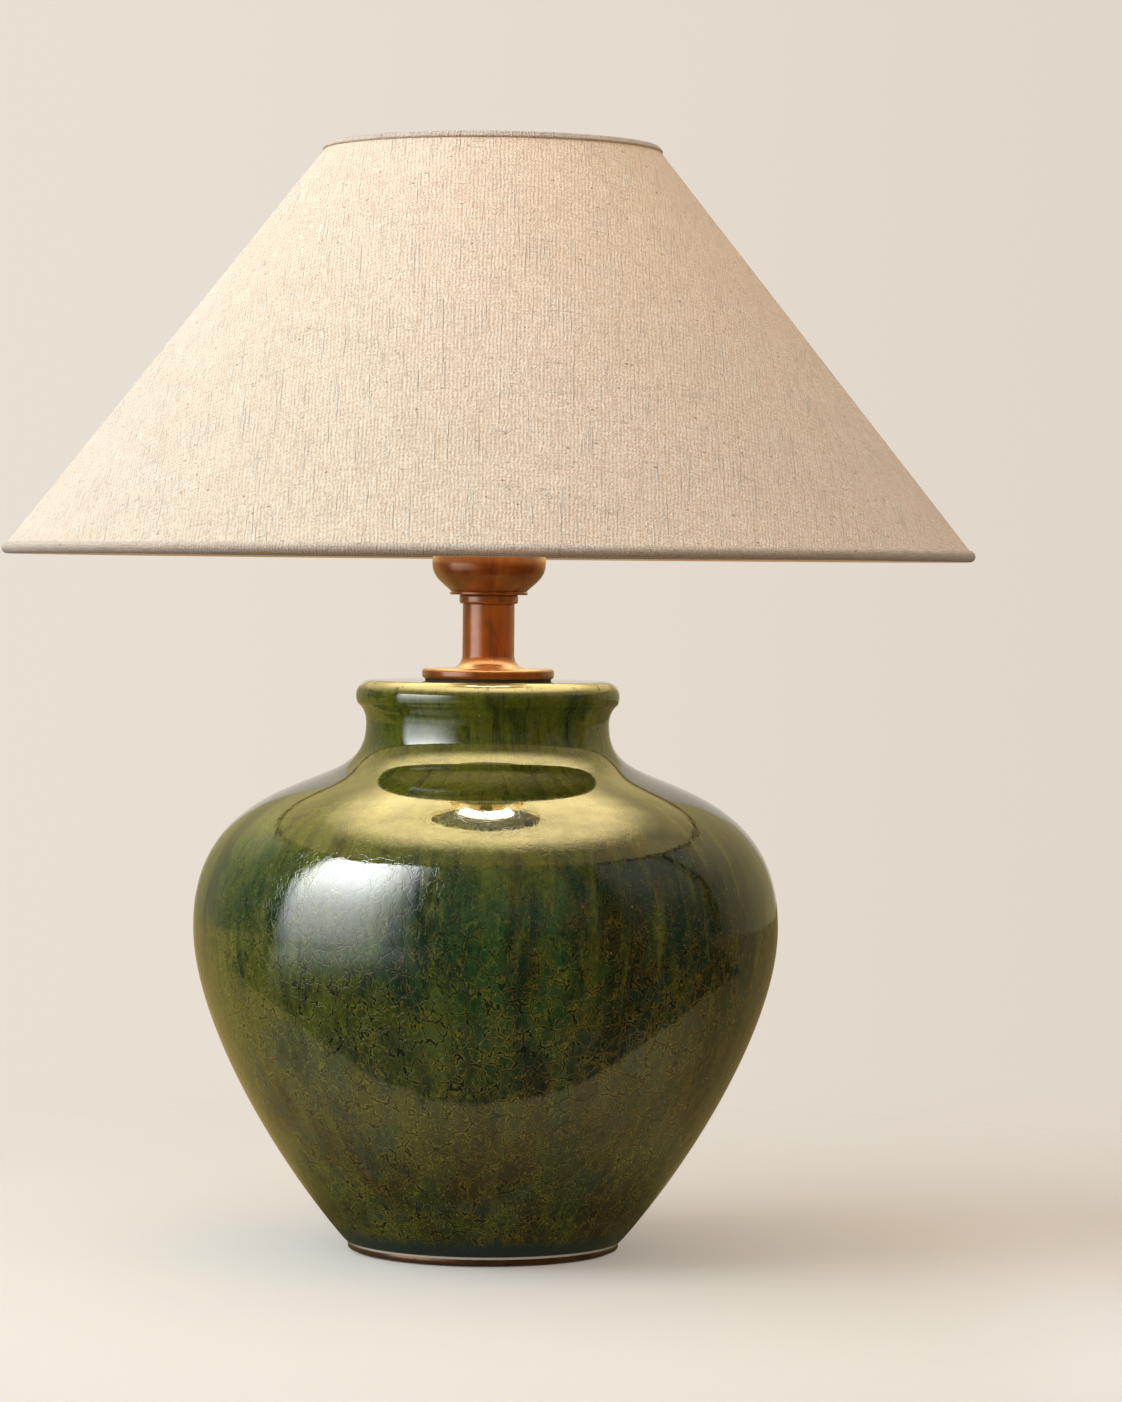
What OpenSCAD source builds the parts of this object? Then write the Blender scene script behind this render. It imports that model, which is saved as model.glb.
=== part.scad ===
// Table lamp: a glazed jar on a felted disc, a turned neck and cup, a turn-knob socket with
// its bulb, and a cone shade that a harp carries. All parts are stacked on one threaded rod.
// Origin: centre of the felt's underside, +Z up. The viewer stands on the -Y side.

/* [Base] */
// Thickness of the felt pad
felt_t = 1; // [0.5:0.1:3]
// How far the felt stops inside the edge of the base disc
felt_inset = 2; // [0.5:0.5:12]
// Diameter of the base disc
disc_d = 127; // [116:1:136]
// Thickness of the base disc at its visible edge
disc_t = 2.5; // [1.5:0.1:8]
// Depth of the hollow foot that takes the disc's spigot
foot_hollow_h = 12; // [9:0.5:20]
// Diameter of the hollow foot
foot_hollow_d = 108; // [60:1:112]

/* [Rod and nuts] */
// Diameter of the threaded rod
rod_d = 10.2; // [8:0.1:12]
// Bore of the rod
rod_bore = 6.8; // [4:0.1:7.2]
// Width of a nut across its flats
nut_w = 14.3; // [13.5:0.1:17]
// Thickness of a nut
nut_t = 3.2; // [2:0.1:4.5]
// Diameter of the washer in the base
washer_d = 26; // [19:0.5:34]
// Thickness of the washer in the base
washer_t = 1.2; // [0.8:0.1:2]
// Thickness of the toothed lock washer
lock_t = 0.8; // [0.5:0.1:1.2]

/* [Jar] */
// Diameter of the jar's foot
foot_d = 127.8; // [122:0.2:136]
// Height of the jar, foot to top
jar_h = 263.4; // [236:0.2:300]
// Largest diameter of the jar
belly_d = 274; // [240:1:300]
// Height of the largest diameter above the foot
belly_h = 148; // [125:1:165]
// Diameter where the shoulder turns hollow
shoulder_d = 190; // [165:1:205]
// Distance of that turn below the jar's top
shoulder_drop = 51.5; // [46:0.5:60]
// Smallest diameter of the jar's neck
throat_d = 114.2; // [104:0.2:124]
// Distance of the smallest diameter below the jar's top
throat_drop = 20.5; // [15:0.5:26]
// Diameter of the rolled rim
rim_d = 123.8; // [116:0.2:134]
// Height of the rounding of the rim
rim_round = 7.1; // [4:0.1:10]
// Thickness of the jar's wall
jar_wall = 6; // [4:0.5:9]
// Thickness of the jar's floor and of its closed top
jar_deck = 8; // [6:0.5:11]

/* [Cord inlet] */
// Height of the inlet above the foot
inlet_h = 24; // [22:1:60]
// Bore of the inlet bushing
inlet_bore = 7; // [5:0.5:8]
// Outer diameter of the bushing
bushing_d = 10.4; // [10:0.2:14]
// Diameter of the bushing's flange
bushing_flange_d = 15; // [14.6:0.2:20]
// Thickness of the bushing's flange
bushing_flange_t = 1.8; // [1:0.1:3]

/* [Neck] */
// Thickness of the gasket between jar and neck
gasket_t = 0.8; // [0.4:0.1:2]
// Diameter of the flange that stands on the jar
flange_d = 62; // [50:0.5:80]
// Thickness of the flange
flange_t = 5; // [3:0.1:9]
// Rounding of the flange's edge
flange_round = 1.8; // [0.6:0.1:2.2]
// Diameter of the flare where it meets the flange
flare_d = 35; // [30:0.5:44]
// Height of the flare
flare_h = 6.5; // [3:0.1:12]
// Diameter of the column
column_d = 24.4; // [18:0.2:27]
// Height of the column above the flange
column_h = 30.2; // [20:0.2:60]
// Diameter of the collar
collar_d = 27.6; // [20:0.2:32]
// Height of the collar
collar_h = 4.2; // [2.6:0.1:7]

/* [Cup] */
// Largest diameter of the cup
cup_d = 53.2; // [52:0.2:64]
// Height of the cup
cup_h = 20.5; // [17:0.1:23]
// Height at which the cup is widest
cup_wide_h = 14.3; // [11:0.1:15]
// Diameter of the cup's foot
cup_foot_d = 36.6; // [32:0.2:42]
// Height of the lip at the cup's foot
cup_lip_h = 1.5; // [0.8:0.1:2.5]
// Thickness of the cup's wall
cup_wall = 3; // [2:0.1:3.3]
// Thickness of the cup's floor
cup_floor = 5.5; // [4:0.1:8]

/* [Harp] */
// Height of the harp, saddle to shade fitter
harp_h = 190.5; // [184:0.5:230]
// Width of the harp between its wire centres
harp_w = 114; // [100:1:130]
// Diameter of the harp's wire
harp_wire_d = 3.4; // [2.6:0.1:3.8]
// Thickness of the saddle's strip
strip_t = 1.6; // [1:0.1:2]
// Width of the saddle's strip
strip_w = 9; // [8.2:0.1:10]
// Diameter of the saddle's eye, round the rod
saddle_eye_d = 23; // [20:0.5:24]
// Height of the saddle, up to the shoulders under the sleeves
saddle_h = 28; // [26:0.5:34]
// Length of the leaning part of a saddle arm
saddle_lean_l = 20; // [18:0.5:22]
// Diameter of a sleeve
sleeve_d = 7.4; // [7.2:0.1:8.2]
// Length of a sleeve
sleeve_l = 16; // [14:0.5:18]
// Diameter of the eye at the top of the harp
harp_eye_d = 15; // [13:0.5:18]
// Thickness of that eye
harp_eye_t = 3; // [2:0.1:3.6]

/* [Swivel and finial] */
// Diameter of the swivel stud
stud_d = 6.2; // [5:0.1:7]
// Height of the stud above its flange
stud_h = 10.5; // [8:0.5:12]
// Diameter of the flange that carries the shade
swivel_d = 18; // [16:0.5:19]
// Thickness of that flange
swivel_t = 2; // [1.4:0.1:3]
// Diameter of the finial's knob
finial_d = 17; // [15:0.5:26]
// Height of the finial
finial_h = 14.8; // [13:0.2:28]

/* [Socket] */
// Diameter of the socket's brass cap
cap_d = 33.6; // [33:0.1:35]
// Height of the cap
cap_h = 20; // [18:0.5:21]
// Height of the socket from the cap's foot to the rim of its shell
socket_h = 57; // [56:0.5:62]
// Thickness of the brass sheet
sheet_t = 0.6; // [0.4:0.1:0.8]
// Thickness of the card sleeve inside the shell
card_t = 0.9; // [0.5:0.1:1]
// Diameter of the switch knob
knob_d = 11; // [9:0.5:14]
// Length of the switch knob
knob_l = 12; // [9:0.5:18]
// Diameter of the switch's stem
stem_d = 4; // [3:0.1:4.4]

/* [Bulb] */
// Diameter of the bulb
bulb_d = 60; // [50:1:66]
// Length of the bulb with its cap
bulb_l = 108; // [102:1:114]
// Diameter of the bulb's screw cap
bulb_cap_d = 25.8; // [25:0.1:26]
// Height at which the globe sits on its housing
globe_h = 62; // [52:1:66]
// Thickness of the globe's wall
globe_wall = 1; // [0.6:0.1:2]

/* [Shade] */
// Diameter of the cover at the bottom
shade_bottom_d = 451; // [380:1:480]
// Diameter of the cover at the top
shade_top_d = 154; // [130:1:190]
// Upright height of the cover
shade_h = 188; // [170:1:205]
// Distance from the top of the cover down to the fitter
fitter_drop = 9.8; // [6:0.2:14]
// Thickness of the stiff liner
liner_t = 0.8; // [0.5:0.1:1.5]
// Thickness of the linen cover
linen_t = 0.8; // [0.5:0.1:1.5]
// Diameter of the wire of both rings and of the fitter's arms
ring_wire_d = 3.6; // [3:0.1:4]
// Number of arms of the fitter
arms = 3; // [3:1:4]
// Diameter of the fitter's washer
fitter_d = 24; // [22:0.5:30]
// Thickness of the fitter's washer
fitter_t = 2; // [1.4:0.1:3]
// How far the bottom hem reaches up the cover
hem_h = 5; // [4:0.2:12]
// How far the bottom hem stands proud of the cover
hem_t = 1.2; // [0.8:0.1:4]
// How far the top trim reaches down the cover
trim_h = 3; // [2:0.2:10]
// How far the top trim stands proud of the cover
trim_t = 1; // [0.6:0.1:2.5]

/* [Clearances] */
// Clearance between pieces that are clamped or glued
fit_gap = 0.1; // [0.05:0.05:0.2]
// Clearance round the rod and round every moving shaft, on the radius
run_gap = 0.3; // [0.2:0.05:0.4]
// Clearance under a piece that rests on another and lifts off
rest_gap = 0.2; // [0.1:0.05:0.3]
// Clearance of the disc's spigot in the jar's foot, on the radius
spigot_gap = 0.5; // [0.2:0.1:1]

/* [Hidden] */
$fn = 96;

steps = 12;          // straight steps in each curve of an outline
over = 1;            // how far a cutting body runs past the face it cuts
rod_hole_d = rod_d + 2 * run_gap;

// Heights of the base, from the felt up
disc_z = felt_t;
foot_z = disc_z + disc_t;
rod_lift = 0.6;      // free height between the felt and the rod's lower end
rod_stub = 0.5;      // how far the rod stands out below its nut
rod_z = disc_z + rod_lift;
base_nut_z = rod_z + rod_stub;
lock_z = base_nut_z + nut_t;
washer_z = lock_z + lock_t;
well_top_z = washer_z + washer_t;
spigot_top_z = foot_z + foot_hollow_h - spigot_gap;
jar_top_z = foot_z + jar_h;

// Heights of the neck and the cup
flange_z = jar_top_z + gasket_t;
column_z = flange_z + flange_t;
collar_z = column_z + column_h;
cup_z = collar_z + collar_h;
cup_nut_z = cup_z + cup_floor;
saddle_z = cup_nut_z + nut_t;
cap_z = saddle_z + strip_t;

// Heights of the socket, counted from the foot of its cap
bush_h = 5;                                  // threaded neck of the cap
bush_d = rod_hole_d + 4.2;
rod_in_cap = 6;                              // how far the rod reaches into the cap
rod_top_z = cap_z + rod_in_cap;
shell_in = 7;                                // how far the shell sits inside the cap
dome_h = cap_h - bush_h - shell_in;          // height of the cap's dome, up to the shell
shell_z = cap_z + cap_h - shell_in;
shell_top_z = cap_z + socket_h;
shell_d = cap_d - 2 * sheet_t - 2 * fit_gap;
card_d = shell_d - 2 * sheet_t - 2 * fit_gap;
block_d = card_d - 2 * card_t - 2 * run_gap; // insulating block with the switch in it
block_h = 18;
block_z = shell_z;
boss_h = 1.2;                                // raised seat of the centre contact
block_top_z = block_z + block_h;
contact_t = 1;
contact_top_z = block_top_z + boss_h + contact_t;
stem_z = block_z + 11.2;
screw_z = block_z + 8.1;                      // height of the terminal screws
screw_t = 0.4;                               // sheet of the screw shell and the bulb's cap
screw_in_d = bulb_cap_d + 2 * run_gap;
screw_sunk = 3;                              // how far it stops below the rim of the socket
screw_h = shell_top_z - block_top_z - screw_sunk;
bulb_z = contact_top_z;
stem_hold = 0.7 * knob_l;                    // how far the stem reaches into its knob

// The saddle's arms and the harp's legs share one place
saddle_bend_r = 6;
saddle_lean = 65;                            // lean of an arm above the level
leg_x = saddle_eye_d / 2 + saddle_bend_r + saddle_lean_l * cos(saddle_lean);
arm_rise = saddle_bend_r + saddle_lean_l * sin(saddle_lean);
shoulder_z = saddle_z + saddle_h;
tongue_w = 4.4;
tongue_h = 7;
leg_z = shoulder_z + tongue_h + rest_gap;
sleeve_lip = 4;                              // length of the sleeve's narrow end
sleeve_travel = 10;                          // how far a sleeve slides up its leg
leg_l = sleeve_l - tongue_h + sleeve_travel + 1;

// The harp's bends, from the leg up
foot_bend_r = 14;
foot_bend = 45;                              // how far the wire spreads from the leg
side_bend_r = 50;
top_bend_r = 48;
spread_l = (harp_w / 2 - leg_x - (foot_bend_r + side_bend_r) * (1 - cos(foot_bend)))
    / sin(foot_bend);
spread_rise = (foot_bend_r + side_bend_r) * sin(foot_bend) + spread_l * cos(foot_bend);
fitter_z = saddle_z + harp_h;
eye_top_z = fitter_z - swivel_t;
crown_z = eye_top_z - rest_gap - harp_wire_d / 2;
side_l = crown_z - top_bend_r - leg_z - leg_l - spread_rise;
wire_in_eye = 2;
crown_l = harp_w / 2 - top_bend_r - harp_eye_d / 2 + wire_in_eye;

// The swivel and the finial
shank_d = 5.2;
rivet_d = 9.2;
rivet_t = 1.6;
finial_z = fitter_z + fitter_t;
insert_t = 1;                                // flange of the finial's insert
insert_d = stud_d + 2 * run_gap + 2.6;
insert_h = stud_h - fitter_t + 1;

// The shade's cone: its cover leans by this much over its slant length
cover_z = fitter_z + fitter_drop - shade_h;
cone_run = (shade_bottom_d - shade_top_d) / 2;
slant = sqrt(cone_run * cone_run + shade_h * shade_h);
up_cone = [-cone_run, shade_h] / slant;      // along the cover, bottom to top
out_cone = [shade_h, cone_run] / slant;      // square to the cover, outwards
ring_r = ring_wire_d / 2;
skin_t = linen_t + liner_t;

// Points along a cubic curve, moved inwards by w; the last point is left to the next curve
function curve(a, b, c, d, w = 0) = [
    for (i = [0 : steps - 1])
        let (t = i / steps, s = 1 - t)
        let (p = s * s * s * a + 3 * s * s * t * b + 3 * s * t * t * c + t * t * t * d)
        let (v = s * s * (b - a) + 2 * s * t * (c - b) + t * t * (d - c))
        p + w * [-v.y, v.x] / norm(v)
];

// Points of a quarter of an ellipse, from its widest point up to its top
function quarter(centre, rx, rz) = [
    for (i = [0 : steps])
        let (a = 90 * i / steps)
        centre + [rx * cos(a), rz * sin(a)]
];

// Points of a quarter of an ellipse, from its lowest point out to its widest
function dome(centre, rx, rz) = [
    for (i = [0 : steps])
        let (a = 90 * i / steps)
        centre + [rx * sin(a), -rz * cos(a)]
];

// A walk in the XZ plane from a point and a heading. Each move is [straight, bend radius,
// turn to the left]; the result lists [point, heading]
function walk(at, heading, moves, k = 0) =
    let (move = moves[k], side = sign(move[2]))
    let (from = at + move[0] * [cos(heading), sin(heading)])
    let (centre = from - side * move[1] * [sin(heading), -cos(heading)])
    let (arc = side == 0 ? [[from, heading]] : [
        for (i = [0 : steps])
            let (g = heading + move[2] * i / steps)
            [centre + side * move[1] * [sin(g), -cos(g)], g]
    ])
    let (end = arc[len(arc) - 1])
    k == len(moves) - 1 ? arc : concat(arc, walk(end[0], end[1], moves, k + 1));

// A point on the cone: u along the cover from its lower edge, n out from the cover's face
function on_cone(u, n) = [shade_bottom_d / 2, cover_z] + u * up_cone + n * out_cone;

// The jar's outline from the foot to the rim's widest point, moved inwards by w
belly = [belly_d / 2, foot_z + belly_h];
shoulder = [shoulder_d / 2, jar_top_z - shoulder_drop];
throat = [throat_d / 2, jar_top_z - throat_drop];
rim = [rim_d / 2, jar_top_z - rim_round];
foot_pull = [32, 36];                        // direction in which the foot's curve starts
shoulder_pull = [2.2, -1];                   // direction of the shoulder where it turns
function jar_line(w) = concat(
    curve([foot_d / 2, foot_z], [foot_d / 2, foot_z] + foot_pull, belly - [0, 45], belly, w),
    curve(belly, belly + [0, 27], shoulder + 15 * shoulder_pull, shoulder, w),
    curve(shoulder, shoulder - 10 * shoulder_pull, throat - [0, 20], throat, w)
);
throat_line = curve(throat, throat + [0, 5.5], rim - [0, 4], rim);

// Where the cord inlet meets the jar's back, and how far the wall leans there
inlet_z = foot_z + inlet_h;
outline = [for (p = jar_line(0)) [p.y, p.x]];
inlet_r = lookup(inlet_z, outline);
lean_reach = 6;
inlet_lean = atan2(
    lookup(inlet_z + lean_reach, outline) - lookup(inlet_z - lean_reach, outline),
    2 * lean_reach
);

// A ring with a square section
module ring(d, hole, h) {
    difference() {
        cylinder(d = d, h = h);
        translate([0, 0, -over]) cylinder(d = hole, h = h + 2 * over);
    }
}

// A hex nut on the rod
module hex_nut() {
    difference() {
        cylinder(d = nut_w / cos(30), h = nut_t, $fn = 6);
        translate([0, 0, -over]) cylinder(d = rod_d + 2 * fit_gap, h = nut_t + 2 * over);
    }
}

// Puts its children where the cord inlet is, +Z pointing out of the jar
module at_inlet() {
    translate([0, inlet_r, inlet_z]) rotate([-90 - inlet_lean, 0, 0]) children();
}

module felt_pad() {
    color("dimgray") cylinder(d = disc_d - 2 * felt_inset, h = felt_t);
}

module base_disc() {
    well_d = max(washer_d, nut_w / cos(30)) + 4;
    color("saddlebrown") translate([0, 0, disc_z]) difference() {
        union() {
            cylinder(d = disc_d, h = disc_t);
            cylinder(d = foot_hollow_d - 2 * spigot_gap, h = spigot_top_z - disc_z);
        }
        translate([0, 0, -over]) cylinder(d = well_d, h = well_top_z - disc_z + over);
        cylinder(d = rod_hole_d, h = spigot_top_z + over);
    }
}

module base_nut() {
    color("silver") translate([0, 0, base_nut_z]) hex_nut();
}

module base_lock_washer() {
    teeth = 8;
    color("silver") translate([0, 0, lock_z]) difference() {
        ring(nut_w, rod_hole_d, lock_t);
        for (i = [0 : teeth - 1]) rotate(i * 360 / teeth)
            translate([nut_w / 2, 0, -over]) cylinder(d = 1.6, h = lock_t + 2 * over);
    }
}

module base_washer() {
    color("silver") translate([0, 0, washer_z]) ring(washer_d, rod_hole_d, washer_t);
}

module threaded_rod() {
    color("goldenrod") translate([0, 0, rod_z]) ring(rod_d, rod_bore, rod_top_z - rod_z);
}

module jar() {
    fired_gap = 1;           // extra room for the rod in the fired clay, on the radius
    floor_z = foot_z + foot_hollow_h;
    inside = [for (p = jar_line(jar_wall)) if (p.y > floor_z + jar_deck) p];
    color("olivedrab") difference() {
        rotate_extrude() polygon(concat(
            [[0, foot_z]],
            jar_line(0),
            throat_line,
            quarter([rim.x - rim_round, rim.y], rim_round, rim_round),
            [[0, jar_top_z]]
        ));
        rotate_extrude() polygon(concat(
            [[0, floor_z + jar_deck], [inside[0].x - 2, floor_z + jar_deck]],
            inside,
            [[throat.x - jar_wall, jar_top_z - jar_deck], [0, jar_top_z - jar_deck]]
        ));
        translate([0, 0, foot_z - over]) cylinder(d = foot_hollow_d, h = foot_hollow_h + over);
        translate([0, 0, foot_z]) cylinder(d = rod_hole_d + 2 * fired_gap, h = jar_h + over);
        at_inlet() translate([0, 0, -3 * jar_wall])
            cylinder(d = bushing_d + 2 * run_gap, h = 3 * jar_wall + bushing_flange_t + over);
    }
}

module cord_bushing() {
    snap_t = 1.2;
    snap_d = bushing_d + 2 * run_gap + 1.4;
    barrel = jar_wall + 2 * rest_gap + snap_t;
    color("black") at_inlet() difference() {
        union() {
            translate([0, 0, rest_gap]) cylinder(d = bushing_flange_d, h = bushing_flange_t);
            translate([0, 0, -barrel]) cylinder(d = bushing_d, h = barrel + rest_gap);
            translate([0, 0, -barrel]) cylinder(d = snap_d, h = snap_t);
        }
        translate([0, 0, -barrel - over])
            cylinder(d = inlet_bore, h = barrel + bushing_flange_t + 3 * over);
    }
}

module neck_gasket() {
    gasket_inset = 1.5;
    color("black") translate([0, 0, jar_top_z])
        ring(flange_d - 2 * gasket_inset, rod_hole_d + 6, gasket_t);
}

module neck_column() {
    edge = [flange_d / 2 - flange_round, flange_round];
    flare = [flare_d / 2, flange_t];
    shaft = [column_d / 2, flange_t + flare_h];
    color("peru") translate([0, 0, flange_z]) rotate_extrude() polygon(concat(
        [[rod_hole_d / 2, 0], [edge.x, 0]],
        [for (i = [0 : steps]) let (a = -90 + 90 * i / steps)
            edge + flange_round * [cos(a), sin(a)]],
        quarter([edge.x, flange_t - flange_round], flange_round, flange_round),
        curve(flare, flare + [-3, 0.6], shaft - [0, 4], shaft),
        [shaft, [column_d / 2, flange_t + column_h], [rod_hole_d / 2, flange_t + column_h]]
    ));
}

module neck_collar() {
    bead = 0.9;
    color("peru") translate([0, 0, collar_z]) rotate_extrude() polygon(concat(
        [[rod_hole_d / 2, 0], [collar_d / 2 - bead, 0], [collar_d / 2, bead]],
        quarter([collar_d / 2 - bead, collar_h - bead], bead, bead),
        [[rod_hole_d / 2, collar_h]]
    ));
}

// The cup's outline from its foot to its widest point
cup_start = [cup_foot_d / 2 - 0.6, cup_lip_h];
cup_wide = [cup_d / 2, cup_wide_h];
cup_line = curve(cup_start, cup_start + [3.3, 3.6], cup_wide - [0, 6.5], cup_wide);

module neck_cup() {
    mouth_d = cup_d - 2 * cup_wall;
    mouth_in = 0.5;          // how far the cup draws in at its mouth
    inner_rise = cup_wide_h - cup_floor;
    lip_edge = 0.3;          // bevel on both edges of the lip
    color("peru") translate([0, 0, cup_z]) difference() {
        rotate_extrude() polygon(concat(
            [[0, 0], [cup_foot_d / 2 - lip_edge, 0], [cup_foot_d / 2, lip_edge]],
            [[cup_foot_d / 2, cup_lip_h - lip_edge], [cup_foot_d / 2 - lip_edge, cup_lip_h]],
            cup_line,
            [cup_wide, [cup_d / 2 - mouth_in, cup_h - cup_wall / 2]],
            quarter([(cup_d - cup_wall) / 2 - mouth_in, cup_h - cup_wall / 2],
                cup_wall / 2, cup_wall / 2),
            [[0, cup_h]]
        ));
        rotate_extrude() polygon([
            [0, cup_floor],
            [mouth_d / 2 - 7, cup_floor],
            [mouth_d / 2 - 3, cup_floor + 0.3 * inner_rise],
            [mouth_d / 2 - 0.8, cup_floor + 0.65 * inner_rise],
            [mouth_d / 2, cup_wide_h],
            [mouth_d / 2 - mouth_in, cup_h + over],
            [0, cup_h + over]
        ]);
        translate([0, 0, -over]) cylinder(d = rod_hole_d, h = cup_h);
    }
}

module cup_nut() {
    color("goldenrod") translate([0, 0, cup_nut_z]) hex_nut();
}

// Points beside a walk, at a distance to its left
function beside(path, away) = [
    for (p = path) p[0] + away * [-sin(p[1]), cos(p[1])]
];

// A round wire along a walk, its last face closed
module wire(path, d) {
    sides = 12;
    rings = len(path);
    points = [
        for (p = path, j = [0 : sides - 1])
            let (a = j * 360 / sides, off = d / 2 * cos(a))
            [p[0].x - off * sin(p[1]), d / 2 * sin(a), p[0].y + off * cos(p[1])]
    ];
    walls = [
        for (i = [0 : rings - 2], j = [0 : sides - 1])
            let (a = i * sides + j, b = i * sides + (j + 1) % sides)
            each [[a, b, a + sides], [b, b + sides, a + sides]]
    ];
    last = (rings - 1) * sides;
    caps = [
        for (j = [1 : sides - 2]) each [[0, j + 1, j], [last, last + j, last + j + 1]]
    ];
    polyhedron(points, concat(walls, caps));
}

module harp_saddle() {
    arm = concat([[[0, strip_t / 2], 0]], walk([0, strip_t / 2], 0, [
        [saddle_eye_d / 2, saddle_bend_r, saddle_lean],
        [saddle_lean_l, saddle_bend_r, 90 - saddle_lean],
        [saddle_h - arm_rise - strip_t / 2, 0, 0]
    ]));
    inner = beside(arm, strip_t / 2);
    outer = beside(arm, -strip_t / 2);
    color("goldenrod") translate([0, 0, saddle_z]) difference() {
        union() {
            cylinder(d = saddle_eye_d, h = strip_t);
            for (half = [0, 180]) rotate(half) {
                rotate([90, 0, 0]) translate([0, 0, -strip_w / 2]) linear_extrude(strip_w)
                    polygon(concat(inner, [for (i = [len(outer) - 1 : -1 : 0]) outer[i]]));
                translate([leg_x - strip_t / 2, -tongue_w / 2, saddle_h - 1])
                    cube([strip_t, tongue_w, tongue_h + 1]);
            }
        }
        translate([0, 0, -over]) cylinder(d = rod_hole_d, h = strip_t + 2 * over);
    }
}

module socket_cap() {
    neck_r = bush_d / 2 + 1.5;
    dome_z = bush_h + dome_h;
    crown = cap_d / 2 - neck_r;
    color("goldenrod") translate([0, 0, cap_z]) difference() {
        rotate_extrude() polygon(concat(
            [[0, 0], [bush_d / 2, 0], [bush_d / 2, bush_h]],
            dome([neck_r, dome_z], crown, dome_h),
            [[cap_d / 2, cap_h], [0, cap_h]]
        ));
        rotate_extrude() polygon(concat(
            [[0, bush_h + sheet_t]],
            dome([neck_r, dome_z], crown - sheet_t, dome_h - sheet_t),
            [[cap_d / 2 - sheet_t, cap_h + over], [0, cap_h + over]]
        ));
        translate([0, 0, -over]) cylinder(d = rod_d + 2 * fit_gap, h = cap_h);
    }
}

// Where the flats for the terminal screws are cut
flat_x = block_d / 2 - 3;
terminal_d = 6;
terminal_shank_d = 3;

module socket_insulator() {
    flat_h = terminal_d + 2;
    color("ivory") difference() {
        union() {
            translate([0, 0, block_z]) cylinder(d = block_d, h = block_h);
            translate([0, 0, block_top_z]) cylinder(d = 10, h = boss_h);
        }
        for (side = [-1, 1]) {
            translate([side * (flat_x + block_d / 2), 0, screw_z])
                cube([block_d, block_d, flat_h], center = true);
            translate([0, 0, screw_z]) rotate([0, side * 90, 0])
                translate([0, 0, flat_x - 5]) cylinder(d = terminal_shank_d + 2 * fit_gap, h = 6);
        }
        translate([0, 0, stem_z]) rotate([90, 0, 0]) translate([0, 0, block_d / 4])
            cylinder(d = stem_d + 2 * run_gap, h = block_d);
    }
}

module terminal_screws() {
    head_t = 1.8;
    color("gold") for (side = [-1, 1])
        translate([0, 0, screw_z]) rotate([0, side * 90, 0]) translate([0, 0, flat_x])
        difference() {
            union() {
                cylinder(d = terminal_d, h = head_t);
                translate([0, 0, -4.5]) cylinder(d = terminal_shank_d, h = 4.5 + head_t / 2);
            }
            translate([0, 0, head_t]) cube([1, terminal_d + over, head_t], center = true);
        }
}

module centre_contact() {
    color("gold") translate([0, 0, block_top_z + boss_h]) cylinder(d = 8, h = contact_t);
}

module screw_shell() {
    floor_hole = 12;
    color("gold") translate([0, 0, block_top_z]) difference() {
        cylinder(d = screw_in_d + 2 * screw_t, h = screw_h);
        translate([0, 0, screw_t]) cylinder(d = screw_in_d, h = screw_h);
        translate([0, 0, -over]) cylinder(d = floor_hole, h = screw_h);
    }
}

// The way of the switch's stem through the walls of the socket
module stem_way() {
    translate([0, 0, stem_z]) rotate([90, 0, 0]) cylinder(d = stem_d + 2, h = cap_d);
}

module card_sleeve() {
    card_inset = 1.5;
    color("dimgray") difference() {
        translate([0, 0, shell_z + card_inset])
            ring(card_d, card_d - 2 * card_t, shell_top_z - shell_z - 2 * card_inset);
        stem_way();
    }
}

module socket_shell() {
    lip = 0.8;               // rolled edge of the shell's mouth
    color("goldenrod") difference() {
        union() {
            translate([0, 0, shell_z]) cylinder(d = shell_d, h = shell_top_z - shell_z);
            translate([0, 0, shell_top_z - 2 * lip]) cylinder(d = shell_d + 2 * lip, h = 2 * lip);
        }
        translate([0, 0, shell_z - over])
            cylinder(d = shell_d - 2 * sheet_t, h = shell_top_z - shell_z + 2 * over);
        stem_way();
    }
}

// The switch turns about an axis along -Y
knob_start = cap_d / 2 + 2.5;

module switch_stem() {
    stem_in = block_d / 4 + 1;
    color("gold") translate([0, 0, stem_z]) rotate([90, 0, 0]) translate([0, 0, stem_in])
        cylinder(d = stem_d, h = knob_start + stem_hold - stem_in);
}

module switch_knob() {
    flutes = 12;
    color("black") translate([0, -knob_start, stem_z]) rotate([90, 0, 0]) difference() {
        union() {
            cylinder(d = knob_d, h = knob_l - 1);
            translate([0, 0, knob_l - 1]) cylinder(d1 = knob_d, d2 = knob_d - 2, h = 1);
        }
        translate([0, 0, -over])
            cylinder(d = stem_d + 2 * fit_gap, h = stem_hold + fit_gap + over);
        for (i = [0 : flutes - 1]) rotate(i * 360 / flutes)
            translate([knob_d / 2 + 0.3, 0, knob_l / 4]) cylinder(d = 1.6, h = knob_l);
    }
}

// Heights in the bulb, counted from its contact
tip_t = 1.4;
tip_d = 9.6;
cone_h = 4;
cap_foot_d = bulb_cap_d - 6;
bulb_cap_top = 25;
bulb_neck_d = bulb_cap_d - 2 * screw_t - 2 * fit_gap;
housing_wall = 1.6;
housing_flare = [6, 8];      // how the housing's side runs up to its top edge
board_t = 1.4;

module bulb_contact() {
    color("silver") translate([0, 0, bulb_z]) cylinder(d = tip_d, h = tip_t);
}

module bulb_insulator() {
    color("black") translate([0, 0, bulb_z + tip_t])
        cylinder(d1 = tip_d + 1, d2 = cap_foot_d - 1, h = cone_h);
}

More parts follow.
